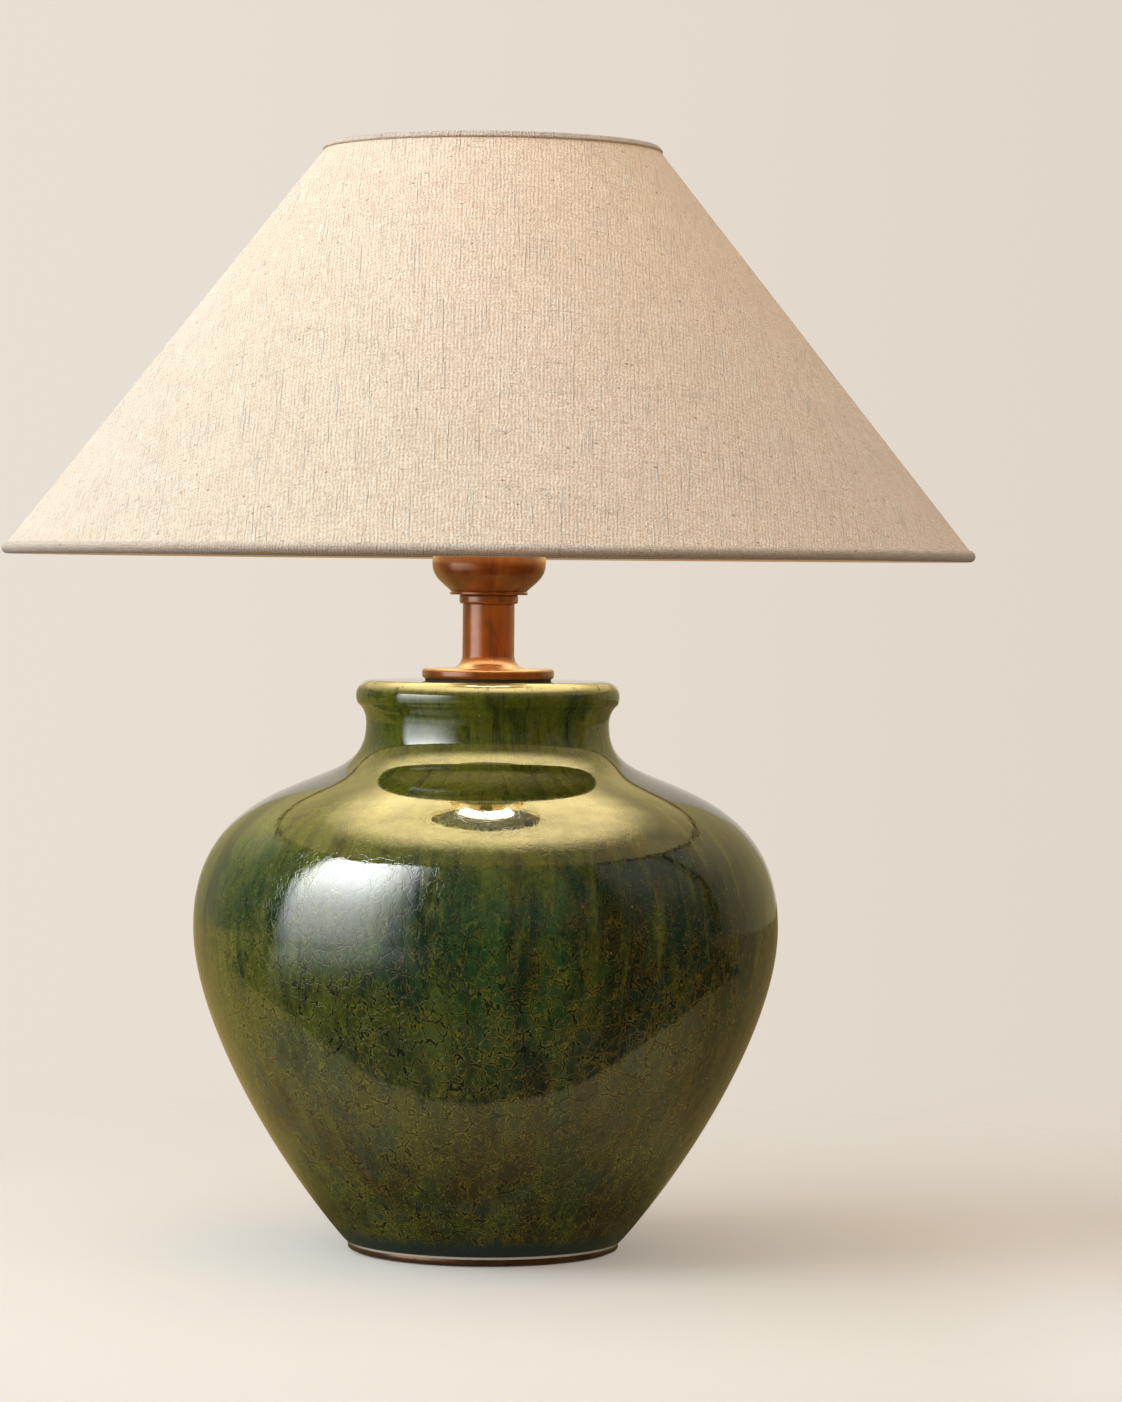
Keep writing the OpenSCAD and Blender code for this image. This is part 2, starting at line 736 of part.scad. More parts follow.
module bulb_cap() {
    foot = tip_t + cone_h;
    turned_in = 2;           // how far the sheet turns in under the black glass
    slope = 3;               // height of the slope up to the thread
    color("silver") translate([0, 0, bulb_z]) rotate_extrude() polygon([
        [cap_foot_d / 2 - turned_in, foot],
        [cap_foot_d / 2, foot],
        [bulb_cap_d / 2, foot + slope],
        [bulb_cap_d / 2, bulb_cap_top],
        [bulb_cap_d / 2 - screw_t, bulb_cap_top],
        [bulb_cap_d / 2 - screw_t, foot + slope + screw_t],
        [cap_foot_d / 2, foot + screw_t],
        [cap_foot_d / 2 - turned_in, foot + screw_t]
    ]);
}

// Radius of the globe at a height in the bulb
function globe_r(h) = sqrt(pow(bulb_d / 2, 2) - pow(h - bulb_l + bulb_d / 2, 2));

module bulb_housing() {
    neck_in = 4;             // how far the housing sits inside the cap
    wall = housing_wall;
    foot = [bulb_neck_d / 2, bulb_cap_top];
    top = [globe_r(globe_h), globe_h];
    side = curve(foot + [0.6, 0.2], foot + [0.6, 12], top - housing_flare, top);
    inside = curve(foot + [0.6 - wall, 0.2], foot + [0.6 - wall, 12],
        top - housing_flare - [wall, 0], top - [wall, 0]);
    color("white") translate([0, 0, bulb_z]) rotate_extrude() polygon(concat(
        [foot - [wall, neck_in], foot - [0, neck_in], foot],
        side,
        [top, top - [wall, 0]],
        [for (i = [steps - 1 : -1 : 1]) inside[i]],
        [foot - [wall, 0]]
    ));
}

module led_board() {
    chips = 8;
    chip = [3, 3, 0.8];
    taper = board_t * housing_flare.x / housing_flare.y;
    board_r = globe_r(globe_h) - housing_wall - taper - fit_gap;
    color("white") translate([0, 0, bulb_z + globe_h - board_t]) {
        cylinder(r = board_r, h = board_t);
        for (i = [0 : chips - 1]) rotate(i * 360 / chips)
            translate([2 / 3 * board_r - chip.x / 2, -chip.y / 2, board_t]) cube(chip);
    }
}

module bulb_globe() {
    centre = bulb_z + bulb_l - bulb_d / 2;
    color("ivory") difference() {
        translate([0, 0, centre]) sphere(d = bulb_d);
        translate([0, 0, centre]) sphere(d = bulb_d - 2 * globe_wall);
        translate([-bulb_d, -bulb_d, bulb_z + globe_h - 2 * bulb_d])
            cube([2 * bulb_d, 2 * bulb_d, 2 * bulb_d]);
    }
}

module harp() {
    half_wire = concat([[[leg_x, leg_z], 90]], walk([leg_x, leg_z], 90, [
        [leg_l, foot_bend_r, -foot_bend],
        [spread_l, side_bend_r, foot_bend],
        [side_l, top_bend_r, 90],
        [crown_l, 0, 0]
    ]));
    color("goldenrod") difference() {
        union() {
            for (half = [0, 180]) rotate(half) wire(half_wire, harp_wire_d);
            translate([0, 0, eye_top_z - harp_eye_t]) cylinder(d = harp_eye_d, h = harp_eye_t);
        }
        translate([0, 0, eye_top_z - harp_eye_t - over])
            cylinder(d = shank_d + 2 * run_gap, h = harp_eye_t + 2 * over);
    }
}

// A brass sleeve over the joint of one leg and its saddle tongue
module sleeve() {
    sleeve_wall = 0.8;
    narrow = harp_wire_d + 2 * run_gap;
    wide = sleeve_d - 2 * sleeve_wall;
    color("gold") translate([0, 0, shoulder_z + rest_gap]) difference() {
        cylinder(d = sleeve_d, h = sleeve_l);
        translate([0, 0, -over]) cylinder(d = narrow, h = sleeve_l + 2 * over);
        translate([0, 0, -over]) cylinder(d = wide, h = sleeve_l - sleeve_lip + over);
    }
}

module sleeve_left() {
    translate([-leg_x, 0, 0]) sleeve();
}

module sleeve_right() {
    translate([leg_x, 0, 0]) sleeve();
}

module harp_swivel() {
    color("gold") translate([0, 0, eye_top_z]) {
        cylinder(d = swivel_d, h = swivel_t);
        cylinder(d = stud_d, h = swivel_t + stud_h);
        translate([0, 0, -harp_eye_t - rest_gap]) cylinder(d = shank_d, h = harp_eye_t + over);
        translate([0, 0, -harp_eye_t - rest_gap - rivet_t]) cylinder(d = rivet_d, h = rivet_t);
    }
}

// Centre line of each ring, against the liner's inner face
ring_in = skin_t + ring_r + fit_gap;
top_ring_at = on_cone(slant - ring_r, -ring_in);
bottom_ring_at = on_cone(ring_r, -ring_in);

module spider() {
    from = [fitter_d / 2 - 2, fitter_z + fitter_t / 2];
    to = top_ring_at - [ring_r, 0];
    reach = norm(to - from);
    rise = atan2(to.y - from.y, to.x - from.x);
    color("goldenrod") {
        translate([0, 0, fitter_z]) ring(fitter_d, stud_d + 4 * run_gap, fitter_t);
        for (i = [0 : arms - 1]) rotate(90 + i * 360 / arms)
            translate([from.x, 0, from.y]) rotate([0, 90 - rise, 0])
            cylinder(d = ring_wire_d, h = reach);
    }
}

module top_ring() {
    color("goldenrod") rotate_extrude() translate(top_ring_at) circle(d = ring_wire_d, $fn = 32);
}

module bottom_ring() {
    color("goldenrod") rotate_extrude() translate(bottom_ring_at)
        circle(d = ring_wire_d, $fn = 32);
}

// A conical skin between two depths below the cover's outer face
module cone_skin(from, to) {
    rotate_extrude() polygon([
        on_cone(0, -from), on_cone(slant, -from), on_cone(slant, -to), on_cone(0, -to)
    ]);
}

module shade_liner() {
    color("white") cone_skin(linen_t, skin_t);
}

module shade_cover() {
    color("wheat") cone_skin(0, linen_t);
}

// A folded edge round a ring: at is the edge's place along the cover, way is 1 at the bottom
// edge and -1 at the top one, reach is how far it covers the outside, proud its thickness
module folded_edge(at, way, reach, proud) {
    inside = ring_in + ring_r + fit_gap;
    turn = proud / 2;
    section = [
        [-proud, 0], [-proud, proud - turn], [turn - proud, proud], [reach - turn, proud],
        [reach, proud - turn], [reach, 0], [0, 0], [0, -inside], [reach, -inside],
        [reach, -inside - 0.6], [-proud + turn, -inside - 0.6], [-proud, -inside]
    ];
    rotate_extrude() polygon([for (p = section) on_cone(at + way * p.x, p.y)]);
}

// The ways of the fitter's arms through the top trim, which is slit there
module arm_ways() {
    way_w = ring_wire_d + 2 * rest_gap;
    for (i = [0 : arms - 1]) rotate(90 + i * 360 / arms)
        translate([0, -way_w / 2, top_ring_at.y - way_w])
        cube([top_ring_at.x, way_w, way_w + ring_r + rest_gap]);
}

module top_trim() {
    color("tan") difference() {
        folded_edge(slant, -1, trim_h, trim_t);
        arm_ways();
    }
}

module bottom_hem() {
    color("tan") folded_edge(0, 1, hem_h, hem_t);
}

module finial_insert() {
    color("gold") translate([0, 0, finial_z]) difference() {
        union() {
            cylinder(d = insert_d + 4, h = insert_t);
            cylinder(d = insert_d, h = insert_h);
        }
        translate([0, 0, -over]) cylinder(d = stud_d + 2 * run_gap, h = insert_h + 2 * over);
    }
}

module finial_knob() {
    foot_r = insert_d / 2 + 2;
    body_h = finial_h - insert_t;
    socket_d = insert_d + 2 * fit_gap;
    waist = [foot_r - 1, 2.4];
    belly_at = [finial_d / 2, 0.58 * body_h];
    color("peru") translate([0, 0, finial_z + insert_t]) rotate_extrude() polygon(concat(
        [[socket_d / 2, 0], [foot_r, 0], [foot_r, 1.2]],
        curve(waist, waist + [0.6, 1], belly_at - [0, 3], belly_at),
        quarter(belly_at - [finial_d / 2, 0], finial_d / 2, body_h - belly_at.y),
        [[0, insert_h - insert_t + fit_gap], [socket_d / 2, insert_h - insert_t + fit_gap]]
    ));
}

felt_pad();
base_disc();
base_nut();
base_lock_washer();
base_washer();
threaded_rod();
jar();
cord_bushing();
neck_gasket();
neck_column();
neck_collar();
neck_cup();
cup_nut();
harp_saddle();
socket_cap();
socket_insulator();
terminal_screws();
centre_contact();
screw_shell();
card_sleeve();
socket_shell();
switch_stem();
switch_knob();
bulb_contact();
bulb_insulator();
bulb_cap();
bulb_housing();
led_board();
bulb_globe();
harp();
sleeve_left();
sleeve_right();
harp_swivel();
spider();
top_ring();
bottom_ring();
shade_liner();
shade_cover();
top_trim();
bottom_hem();
finial_insert();
finial_knob();
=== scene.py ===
import math

import bpy
from mathutils import Matrix, Vector


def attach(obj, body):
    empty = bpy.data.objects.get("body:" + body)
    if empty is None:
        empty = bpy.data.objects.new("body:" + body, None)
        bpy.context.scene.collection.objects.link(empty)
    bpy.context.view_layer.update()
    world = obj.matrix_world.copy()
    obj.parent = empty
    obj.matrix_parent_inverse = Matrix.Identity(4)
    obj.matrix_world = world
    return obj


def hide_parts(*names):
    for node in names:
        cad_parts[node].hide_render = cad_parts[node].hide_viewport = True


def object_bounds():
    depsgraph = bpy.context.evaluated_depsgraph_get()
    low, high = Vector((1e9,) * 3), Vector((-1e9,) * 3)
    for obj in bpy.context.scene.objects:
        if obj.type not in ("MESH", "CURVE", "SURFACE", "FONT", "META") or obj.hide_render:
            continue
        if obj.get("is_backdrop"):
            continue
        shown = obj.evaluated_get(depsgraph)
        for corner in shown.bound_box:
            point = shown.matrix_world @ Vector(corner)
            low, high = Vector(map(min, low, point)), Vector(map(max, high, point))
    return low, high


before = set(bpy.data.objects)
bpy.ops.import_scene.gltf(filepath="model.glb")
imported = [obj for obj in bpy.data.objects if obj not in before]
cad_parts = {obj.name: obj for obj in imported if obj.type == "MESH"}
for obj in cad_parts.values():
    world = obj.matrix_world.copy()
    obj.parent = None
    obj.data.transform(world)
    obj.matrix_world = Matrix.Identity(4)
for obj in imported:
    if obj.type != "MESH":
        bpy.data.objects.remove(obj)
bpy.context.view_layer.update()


# The camera stands a good 2 m in front of the lamp, level with its cup, and looks slightly down
# through a long lens. It is held a touch off level, as in the photograph.
looks_down = 1.55
off_level = 0.55
lens = bpy.data.cameras.new("view")
lens.lens = 121.8
eye = bpy.data.objects.new("view", lens)
eye.location = (0.0337, -2.223, 0.3178)
eye.rotation_euler = (math.radians(90 - looks_down), math.radians(-off_level), 0)
bpy.context.scene.collection.objects.link(eye)
bpy.context.scene.camera = eye
bpy.context.scene.view_settings.view_transform = "Standard"


# The studio: a warm pale floor that runs out into a backdrop of the same colour. The backdrop
# is painted brighter on the left, where the key light stands.
def feed(tree, socket, value):
    """Joins a socket to another, or sets it to a number, a vector or a colour."""
    if isinstance(value, bpy.types.NodeSocket):
        tree.links.new(value, socket)
    elif socket.type == "RGBA" and len(value) == 3:
        socket.default_value = (*value, 1)
    else:
        socket.default_value = value


def put(tree, kind, inputs=None, **options):
    """Adds a node with its options, and feeds its inputs by name or number."""
    made = tree.nodes.new("ShaderNode" + kind)
    for option, value in options.items():
        setattr(made, option, value)
    for name, value in (inputs or {}).items():
        feed(tree, made.inputs[name], value)
    return made


def calc(tree, operation, *values):
    """One step of arithmetic."""
    return put(tree, "Math", dict(enumerate(values)), operation=operation).outputs[0]


def times(tree, first, *others):
    """The product of two or more values."""
    for other in others:
        first = calc(tree, "MULTIPLY", first, other)
    return first


def vector(tree, operation, first, other=None):
    """One step of vector arithmetic."""
    made = put(tree, "VectorMath", {0: first}, operation=operation)
    if other is not None:
        feed(tree, made.inputs["Scale" if operation == "SCALE" else 1], other)
    return made.outputs["Value" if operation == "LENGTH" else "Vector"]


def spread(tree, value, low, high, to_low=0.0, to_high=1.0):
    """Eases a value from one range into another, and holds it inside."""
    made = put(tree, "MapRange", {"Value": value, 1: low, 2: high, 3: to_low, 4: to_high},
               interpolation_type="SMOOTHSTEP")
    return made.outputs[0]


def tint(tree, share, under, over, how="MIX"):
    """Lays one colour over another by a share."""
    made = put(tree, "Mix", data_type="RGBA", blend_type=how)
    for index, value in ((0, share), (6, under), (7, over)):
        feed(tree, made.inputs[index], value)
    return made.outputs[2]


def position(tree):
    """Where a point lies, in metres."""
    return put(tree, "TexCoord").outputs["Object"]


def split(tree, where):
    """The x, y and z of a vector."""
    return tuple(put(tree, "SeparateXYZ", {0: where}).outputs)


def paint(name):
    """A new finish, with its node tree and its shader."""
    made = bpy.data.materials.new(name)
    made.use_nodes = True
    return made, made.node_tree, made.node_tree.nodes["Principled BSDF"]


def surface(tree, made):
    """Joins a shader to the finish's output."""
    feed(tree, tree.nodes["Material Output"].inputs[0], made.outputs[0])


def stand(name, finish, card=True):
    """Finishes the active object as a part of the studio; a card shows in reflections only."""
    bpy.ops.object.transform_apply(location=True, rotation=False, scale=False)
    made = bpy.context.active_object
    made.name = name
    made.data.materials.append(finish)
    if card:
        made.visible_camera = False
        made.visible_diffuse = False
        made.visible_transmission = False
        made.visible_volume_scatter = False
        made.visible_shadow = False
    made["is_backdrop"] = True
    return made


world = bpy.data.worlds.new("studio")
world.use_nodes = True
sky = world.node_tree
sky.nodes.clear()
to_right, _, upward = split(sky, put(sky, "TexCoord").outputs["Generated"])
backdrop = tint(sky, spread(sky, to_right, -0.12, 0.13), (0.812, 0.738, 0.655), (0.752, 0.672, 0.589))
path = put(sky, "LightPath")
seen = calc(sky, "MAXIMUM", path.outputs["Is Camera Ray"], path.outputs["Is Glossy Ray"])
seen = calc(sky, "MAXIMUM", seen, path.outputs["Is Transmission Ray"])
shown = put(sky, "Background", {"Color": backdrop, "Strength": 1.0})
dimmed = times(sky, spread(sky, to_right, 0.1, 0.9), spread(sky, upward, 0.05, 0.75, 1, 0), 0.20)
level = calc(sky, "SUBTRACT", 0.71, dimmed)
soft = put(sky, "Background", {"Color": (1.0, 0.895, 0.775), "Strength": level})
both = put(sky, "MixShader", {0: seen, 1: soft.outputs[0], 2: shown.outputs[0]})
put(sky, "OutputWorld", {0: both.outputs[0]})
bpy.context.scene.world = world

floor_finish, tree, shader = paint("floor")
where = position(tree)
away = vector(tree, "LENGTH", where)
to_right, behind, _ = split(tree, where)
# Painted light and shade on the floor: its colour is lighter on the right, against the lamp's cast shadow,
# and darker towards the back.
near = tint(tree, spread(tree, to_right, 0.18, 0.28), (0.872, 0.812, 0.742), (0.945, 0.900, 0.870))
pale = tint(tree, spread(tree, behind, -0.18, 0.4), near, (0.780, 0.722, 0.655))
feed(tree, shader.inputs["Base Color"], pale)
shader.inputs["Roughness"].default_value = 0.9
shader.inputs["Specular IOR Level"].default_value = 0.1
clear = put(tree, "BsdfTransparent")
faded = spread(tree, away, 0.3, 0.85, 0.28)
surface(tree, put(tree, "MixShader", {0: faded, 1: shader.outputs[0], 2: clear.outputs[0]}))
bpy.ops.object.select_all(action="DESELECT")
bpy.ops.mesh.primitive_circle_add(vertices=96, radius=0.9, fill_type="NGON",
                                  location=(0, 0, -0.0002))
stand("floor", floor_finish, card=False)


def studio_light(name, azimuth, height, size, energy, colour):
    """A square light, at an azimuth counted from the camera and an angle up."""
    distance = 2.3
    middle = Vector((0, 0, 0.25))
    light = bpy.data.lights.new(name, "AREA")
    light.shape = "SQUARE"
    light.size = size
    light.energy = energy
    light.color = colour
    azimuth, height = math.radians(azimuth), math.radians(height)
    towards = Vector((math.sin(azimuth) * math.cos(height), -math.cos(azimuth) * math.cos(height),
                      math.sin(height)))
    made = bpy.data.objects.new(name, light)
    made.location = middle + distance * towards
    made.rotation_euler = (-towards).to_track_quat("-Z", "Y").to_euler()
    made.visible_camera = False
    made.visible_glossy = False
    bpy.context.scene.collection.objects.link(made)


studio_light("key", -71, 45, 2.2, 40, (0.72, 0.86, 0.98))
studio_light("window", -74, 12, 1.5, 20, (0.46, 0.72, 0.96))


# The cards that the glaze and the lacquer mirror, which light nothing: a tall softbox on the
# left, a dim panel on the right, the dark end of the room, the floor's own glow, and the lit
# inside of the shade with its bulb.
def noise(tree, where, scale, detail, rough=0.5, warp=0.0):
    """Cloudy noise between 0 and 1."""
    made = put(tree, "TexNoise", {"Vector": where, "Scale": scale, "Detail": detail,
                                  "Roughness": rough, "Distortion": warp})
    return made.outputs[0]


def place(tree, where, scale=(1, 1, 1), shift=(0, 0, 0)):
    """Stretches or shifts a pattern on its piece."""
    return put(tree, "Mapping", {"Vector": where, "Scale": scale, "Location": shift}).outputs[0]


def bearing(tree, where):
    """The angle round the lamp, in radians, counted from the camera."""
    x, y, _ = split(tree, where)
    return calc(tree, "ARCTAN2", x, times(tree, y, -1.0))


def glowing(name):
    """A new finish for a card, which has no shader until it shines."""
    finish, tree, shader = paint(name)
    tree.nodes.remove(shader)
    return finish, tree


def shine(tree, colour, strength):
    """Lets a card glow."""
    surface(tree, put(tree, "Emission", {"Color": colour, "Strength": strength}))


def bent_card(name, first, last, radius, foot, top):
    """An upright card bent round the lamp, between two azimuths in degrees."""
    finish, tree = glowing(name)
    bpy.ops.object.select_all(action="DESELECT")
    bpy.ops.mesh.primitive_circle_add(vertices=180, radius=radius, location=(0, 0, foot))
    bpy.ops.object.mode_set(mode="EDIT")
    bpy.ops.mesh.select_all(action="SELECT")
    bpy.ops.mesh.extrude_region_move(TRANSFORM_OT_translate={"value": (0, 0, top - foot)})
    bpy.ops.mesh.select_all(action="DESELECT")
    bpy.ops.object.mode_set(mode="OBJECT")
    made = stand(name, finish)
    for face in made.data.polygons:
        turn = math.degrees(math.atan2(face.center.x, -face.center.y))
        face.select = not first < turn < last
    bpy.ops.object.mode_set(mode="EDIT")
    bpy.ops.mesh.delete(type="FACE")
    bpy.ops.object.mode_set(mode="OBJECT")
    where = position(tree)
    return tree, calc(tree, "DEGREES", bearing(tree, where)), split(tree, where)[2]


tree, azimuth, up = bent_card("softbox_left", -90, -20, 2.0, -0.4, 3.6)
sides = times(tree, spread(tree, azimuth, -88, -78), spread(tree, azimuth, -56, -22, 1, 0))
lower = spread(tree, up, -0.4, 0.7, 0.9, 6.6)
upper = spread(tree, up, 0.4, 1.8, 0.0, 14)
shine(tree, (0.95, 1.0, 1.0), times(tree, sides, calc(tree, "ADD", lower, upper)))

tree, azimuth, up = bent_card("panel_right", 46, 102, 2.2, 0.1, 3.2)
sides = times(tree, spread(tree, azimuth, 48, 62), spread(tree, azimuth, 94, 100, 1, 0))
shine(tree, (1.0, 0.93, 0.76), times(tree, sides, spread(tree, up, 0.1, 2.0, 0.08, 0.55)))

tree, azimuth, up = bent_card("dark_room", -166, 164, 3.2, -0.1, 4.4)
ends = spread(tree, calc(tree, "ABSOLUTE", calc(tree, "ADD", azimuth, 8.0)), 92, 142)
hue = tint(tree, ends, (0.85, 1.0, 0.9), (1.0, 0.84, 0.42))
above = times(tree, spread(tree, up, 0.9, 2.4, 0, 0.9), spread(tree, azimuth, -20, 20, 1, 0.4))
ends = times(tree, ends, calc(tree, "ADD", above, 0.42))
shine(tree, hue, calc(tree, "ADD", spread(tree, up, 0.1, 0.9, 0.02, 0.14), ends))

# This card paints the floor's reflection: a pool of light behind the lamp, dark in front, with painted
# shadow dimming it near the foot and on the right.
finish, tree = glowing("floor_glow")
where = position(tree)
to_right, behind, _ = split(tree, where)
away = vector(tree, "LENGTH", where)
wavy = noise(tree, where, 40, 3)
pool = vector(tree, "LENGTH", place(tree, where, shift=(0, -0.458, 0)))
pool = calc(tree, "ADD", pool, times(tree, wavy, 0.012))
azimuth = calc(tree, "DEGREES", bearing(tree, where))
sides = times(tree, spread(tree, azimuth, -88, -78), spread(tree, azimuth, -50, -14, 1, 0))
veil = times(tree, sides, spread(tree, away, 0.33, 1.0, 0.0, 2.0))
edge = calc(tree, "ADD", away, times(tree, wavy, 0.02))
dusk = spread(tree, edge, 0.272, 0.284, 0.06, 0.01)
lit = calc(tree, "MAXIMUM", spread(tree, pool, 0.624, 0.630, 1, 0), spread(tree, behind, 0.2, 0.3))
far_glow = spread(tree, to_right, -0.25, 0.05, 0.62, 0.30)
near = times(tree, spread(tree, away, 0.08, 0.17, 0.16, 0.80),
             spread(tree, behind, -0.17, 0.08, 1, far_glow))
unlit = put(tree, "Emission", {"Color": (0.86, 1.0, 0.93), "Strength": calc(tree, "ADD", dusk, veil)})
warmth = tint(tree, spread(tree, behind, -0.2, 0.1), (1.0, 0.88, 0.40), (1.0, 0.74, 0.28))
bright = put(tree, "Emission", {"Color": warmth, "Strength": near})
surface(tree, put(tree, "MixShader", {0: lit, 1: unlit.outputs[0], 2: bright.outputs[0]}))
bpy.ops.object.select_all(action="DESELECT")
bpy.ops.mesh.primitive_circle_add(vertices=96, radius=3.1, fill_type="NGON")
stand("floor_glow", finish)

finish, tree = glowing("lit_liner")
where = position(tree)
turn = calc(tree, "ABSOLUTE", bearing(tree, where))
smudged = spread(tree, noise(tree, where, 26, 4, 0.6), 0.34, 0.62, 0.84, 1.06)
low_glow = spread(tree, turn, 0.5, 1.4, 0.8, 1.8)
level = times(tree, spread(tree, turn, 0.5, 1.9, 1, 0.7),
              spread(tree, split(tree, where)[2], 0.362, 0.44, low_glow, 11.2), smudged)
shine(tree, (1.0, 0.80, 0.36), level)
bpy.ops.object.select_all(action="DESELECT")
bpy.ops.mesh.primitive_cone_add(vertices=96, radius1=0.2185, radius2=0.0765, depth=0.180,
                                end_fill_type="NOTHING", location=(0, 0, 0.420))
stand("lit_liner", finish)

lit_radius = 0.0306
finish, tree = glowing("lit_bulb")
shine(tree, (1.0, 0.90, 0.74), 17.0)
bpy.ops.object.select_all(action="DESELECT")
bpy.ops.mesh.primitive_uv_sphere_add(segments=48, ring_count=24, radius=lit_radius,
                                     location=(0, 0, 0.4286))
stand("lit_bulb", finish)
bpy.ops.object.select_all(action="DESELECT")
bpy.ops.mesh.primitive_cone_add(vertices=48, radius1=0.0168, radius2=lit_radius, depth=0.051,
                                end_fill_type="NOTHING", location=(0, 0, 0.4031))
stand("lit_housing", finish)


# The felt pad under the disc: pressed wool, 1 mm thick, with a slightly fluffy edge. It is
# glued on, and keeps the lamp from marking the table.
def closed(angle):
    """Merges the doubles of the shape in edit mode, turns its faces out, and smooths it."""
    bpy.ops.mesh.select_all(action="SELECT")
    bpy.ops.mesh.remove_doubles(threshold=1e-6)
    bpy.ops.mesh.normals_make_consistent(inside=False)
    bpy.ops.object.mode_set(mode="OBJECT")
    bpy.ops.object.shade_smooth_by_angle(angle=math.radians(angle))


def turned(name, outline, cuts=160, angle=35):
    """Turns a closed outline of (radius, height), in millimetres, about the lamp's axis."""
    bpy.ops.object.select_all(action="DESELECT")
    bpy.ops.mesh.primitive_plane_add(size=1)
    made = bpy.context.active_object
    made.name = name
    made.data.name = name
    bpy.ops.object.mode_set(mode="EDIT")
    bpy.ops.mesh.select_all(action="SELECT")
    bpy.ops.mesh.merge(type="CENTER")
    at = Vector((0, 0, 0))
    for i, (r, z) in enumerate(outline):
        to = Vector((r, 0, z)) / 1000
        if i == 0:
            bpy.ops.transform.translate(value=to - at)
        else:
            bpy.ops.mesh.extrude_region_move(TRANSFORM_OT_translate={"value": to - at})
        at = to
    if outline[0][0] > 0 or outline[-1][0] > 0:
        first = Vector((outline[0][0], 0, outline[0][1])) / 1000
        bpy.ops.mesh.extrude_region_move(TRANSFORM_OT_translate={"value": first - at})
    bpy.ops.mesh.select_all(action="SELECT")
    bpy.ops.mesh.remove_doubles(threshold=1e-6)
    bpy.ops.mesh.spin(steps=cuts, angle=2 * math.pi, center=(0, 0, 0), axis=(0, 0, 1))
    closed(angle)
    return made


def settle(piece, body, slot, finish, *nodes):
    """Gives a piece its finish, and lets it ride in place of its nodes."""
    piece.data.materials.clear()
    piece.data.materials.append(finish)
    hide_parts(*nodes)
    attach(piece, body)


def relief(tree, shader, height, depth):
    """Raises a height of 0 to 1 by a depth in metres."""
    feed(tree, shader.inputs["Normal"], put(tree, "Bump", {"Height": height, "Distance": depth}).outputs[0])


def waver(v, first, second, start):
    """An uneven wave round the lamp, between -1 and 1."""
    turn = math.atan2(v.co.y, v.co.x)
    return math.sin(first * turn) * math.sin(second * turn + start)


wool, tree, shader = paint("felt")
where = position(tree)
fibres = noise(tree, place(tree, where, (1, 1, 2)), 900, 4, 0.7, 1.5)
clouds = noise(tree, where, 60, 2)
feed(tree, shader.inputs["Base Color"],
     tint(tree, times(tree, fibres, clouds), (0.018, 0.015, 0.013), (0.09, 0.078, 0.066)))
shader.inputs["Roughness"].default_value = 0.95
shader.inputs["Specular IOR Level"].default_value = 0.2
shader.inputs["Sheen Weight"].default_value = 0.4
relief(tree, shader, fibres, 0.0004)
pad = turned("felt", [(0, 0), (60.9, 0), (61.35, 0.2), (61.5, 0.5), (61.35, 0.85), (60.9, 1), (0, 1)])
edge_starts = 0.0605
fluff = 0.0012
for v in pad.data.vertices:
    if v.co.length > edge_starts:
        v.co.xy *= 1 - fluff * (1 + waver(v, 97, 41, 1))
settle(pad, "root", "felt", wool, "felt_pad")


# The base disc: dark stained wood, turned in one with the spigot that fills the jar's hollow
# foot. The rod, a washer, a toothed washer and a nut pull jar and disc together.
def wood(name, pale, mid, deep, shift, rough=0.34, coat=0.35):
    """Turned and lacquered wood: long streaks up the grain, pores and a few dark specks."""
    finish, tree, shader = paint(name)
    where = place(tree, position(tree), shift=shift)
    streaks = noise(tree, place(tree, where, (1, 1, 0.09)), 330, 5, 0.65, 0.6)
    bands = noise(tree, place(tree, where, (1, 1, 0.16)), 62, 3, 0.6, 1.2)
    clouds = noise(tree, where, 34, 3, 0.6, 0.8)
    colour = tint(tree, spread(tree, bands, 0.34, 0.66), mid, pale)
    colour = tint(tree, spread(tree, clouds, 0.5, 0.78, 0, 0.7), colour, deep)
    colour = tint(tree, spread(tree, streaks, 0.5, 0.72, 0, 0.55), colour, deep)
    holes = put(tree, "TexVoronoi", {"Vector": place(tree, where, (1, 1, 0.45)), "Scale": 170,
                                     "Randomness": 1.0}).outputs["Distance"]
    chosen = noise(tree, where, 95, 1)
    speck = times(tree, spread(tree, holes, 0.05, 0.13, 1, 0), spread(tree, chosen, 0.50, 0.56))
    colour = tint(tree, times(tree, speck, 0.85), colour, (0.03, 0.008, 0.003))
    feed(tree, shader.inputs["Base Color"], colour)
    feed(tree, shader.inputs["Roughness"], spread(tree, clouds, 0.3, 0.7, rough - 0.05, rough + 0.08))
    shader.inputs["Coat Weight"].default_value = coat
    shader.inputs["Coat Roughness"].default_value = 0.2
    shader.inputs["Specular IOR Level"].default_value = 0.6
    shader.inputs["Specular Tint"].default_value = (1.0, 0.42, 0.12, 1)
    relief(tree, shader, calc(tree, "SUBTRACT", times(tree, streaks, 0.35), speck), 0.00016)
    return finish


def metal(name, colour, worn, rough):
    """Plated or plain metal, with fine scratches and a film of tarnish."""
    finish, tree, shader = paint(name)
    where = position(tree)
    clouds = noise(tree, where, 110, 3, 0.6)
    scratches = noise(tree, place(tree, where, (1, 1, 14)), 240, 2, 0.5)
    feed(tree, shader.inputs["Base Color"], tint(tree, spread(tree, clouds, 0.4, 0.75), colour, worn))
    shader.inputs["Metallic"].default_value = 1.0
    feed(tree, shader.inputs["Roughness"], spread(tree, clouds, 0.3, 0.7, rough, rough + 0.14))
    relief(tree, shader, scratches, 0.00003)
    return finish


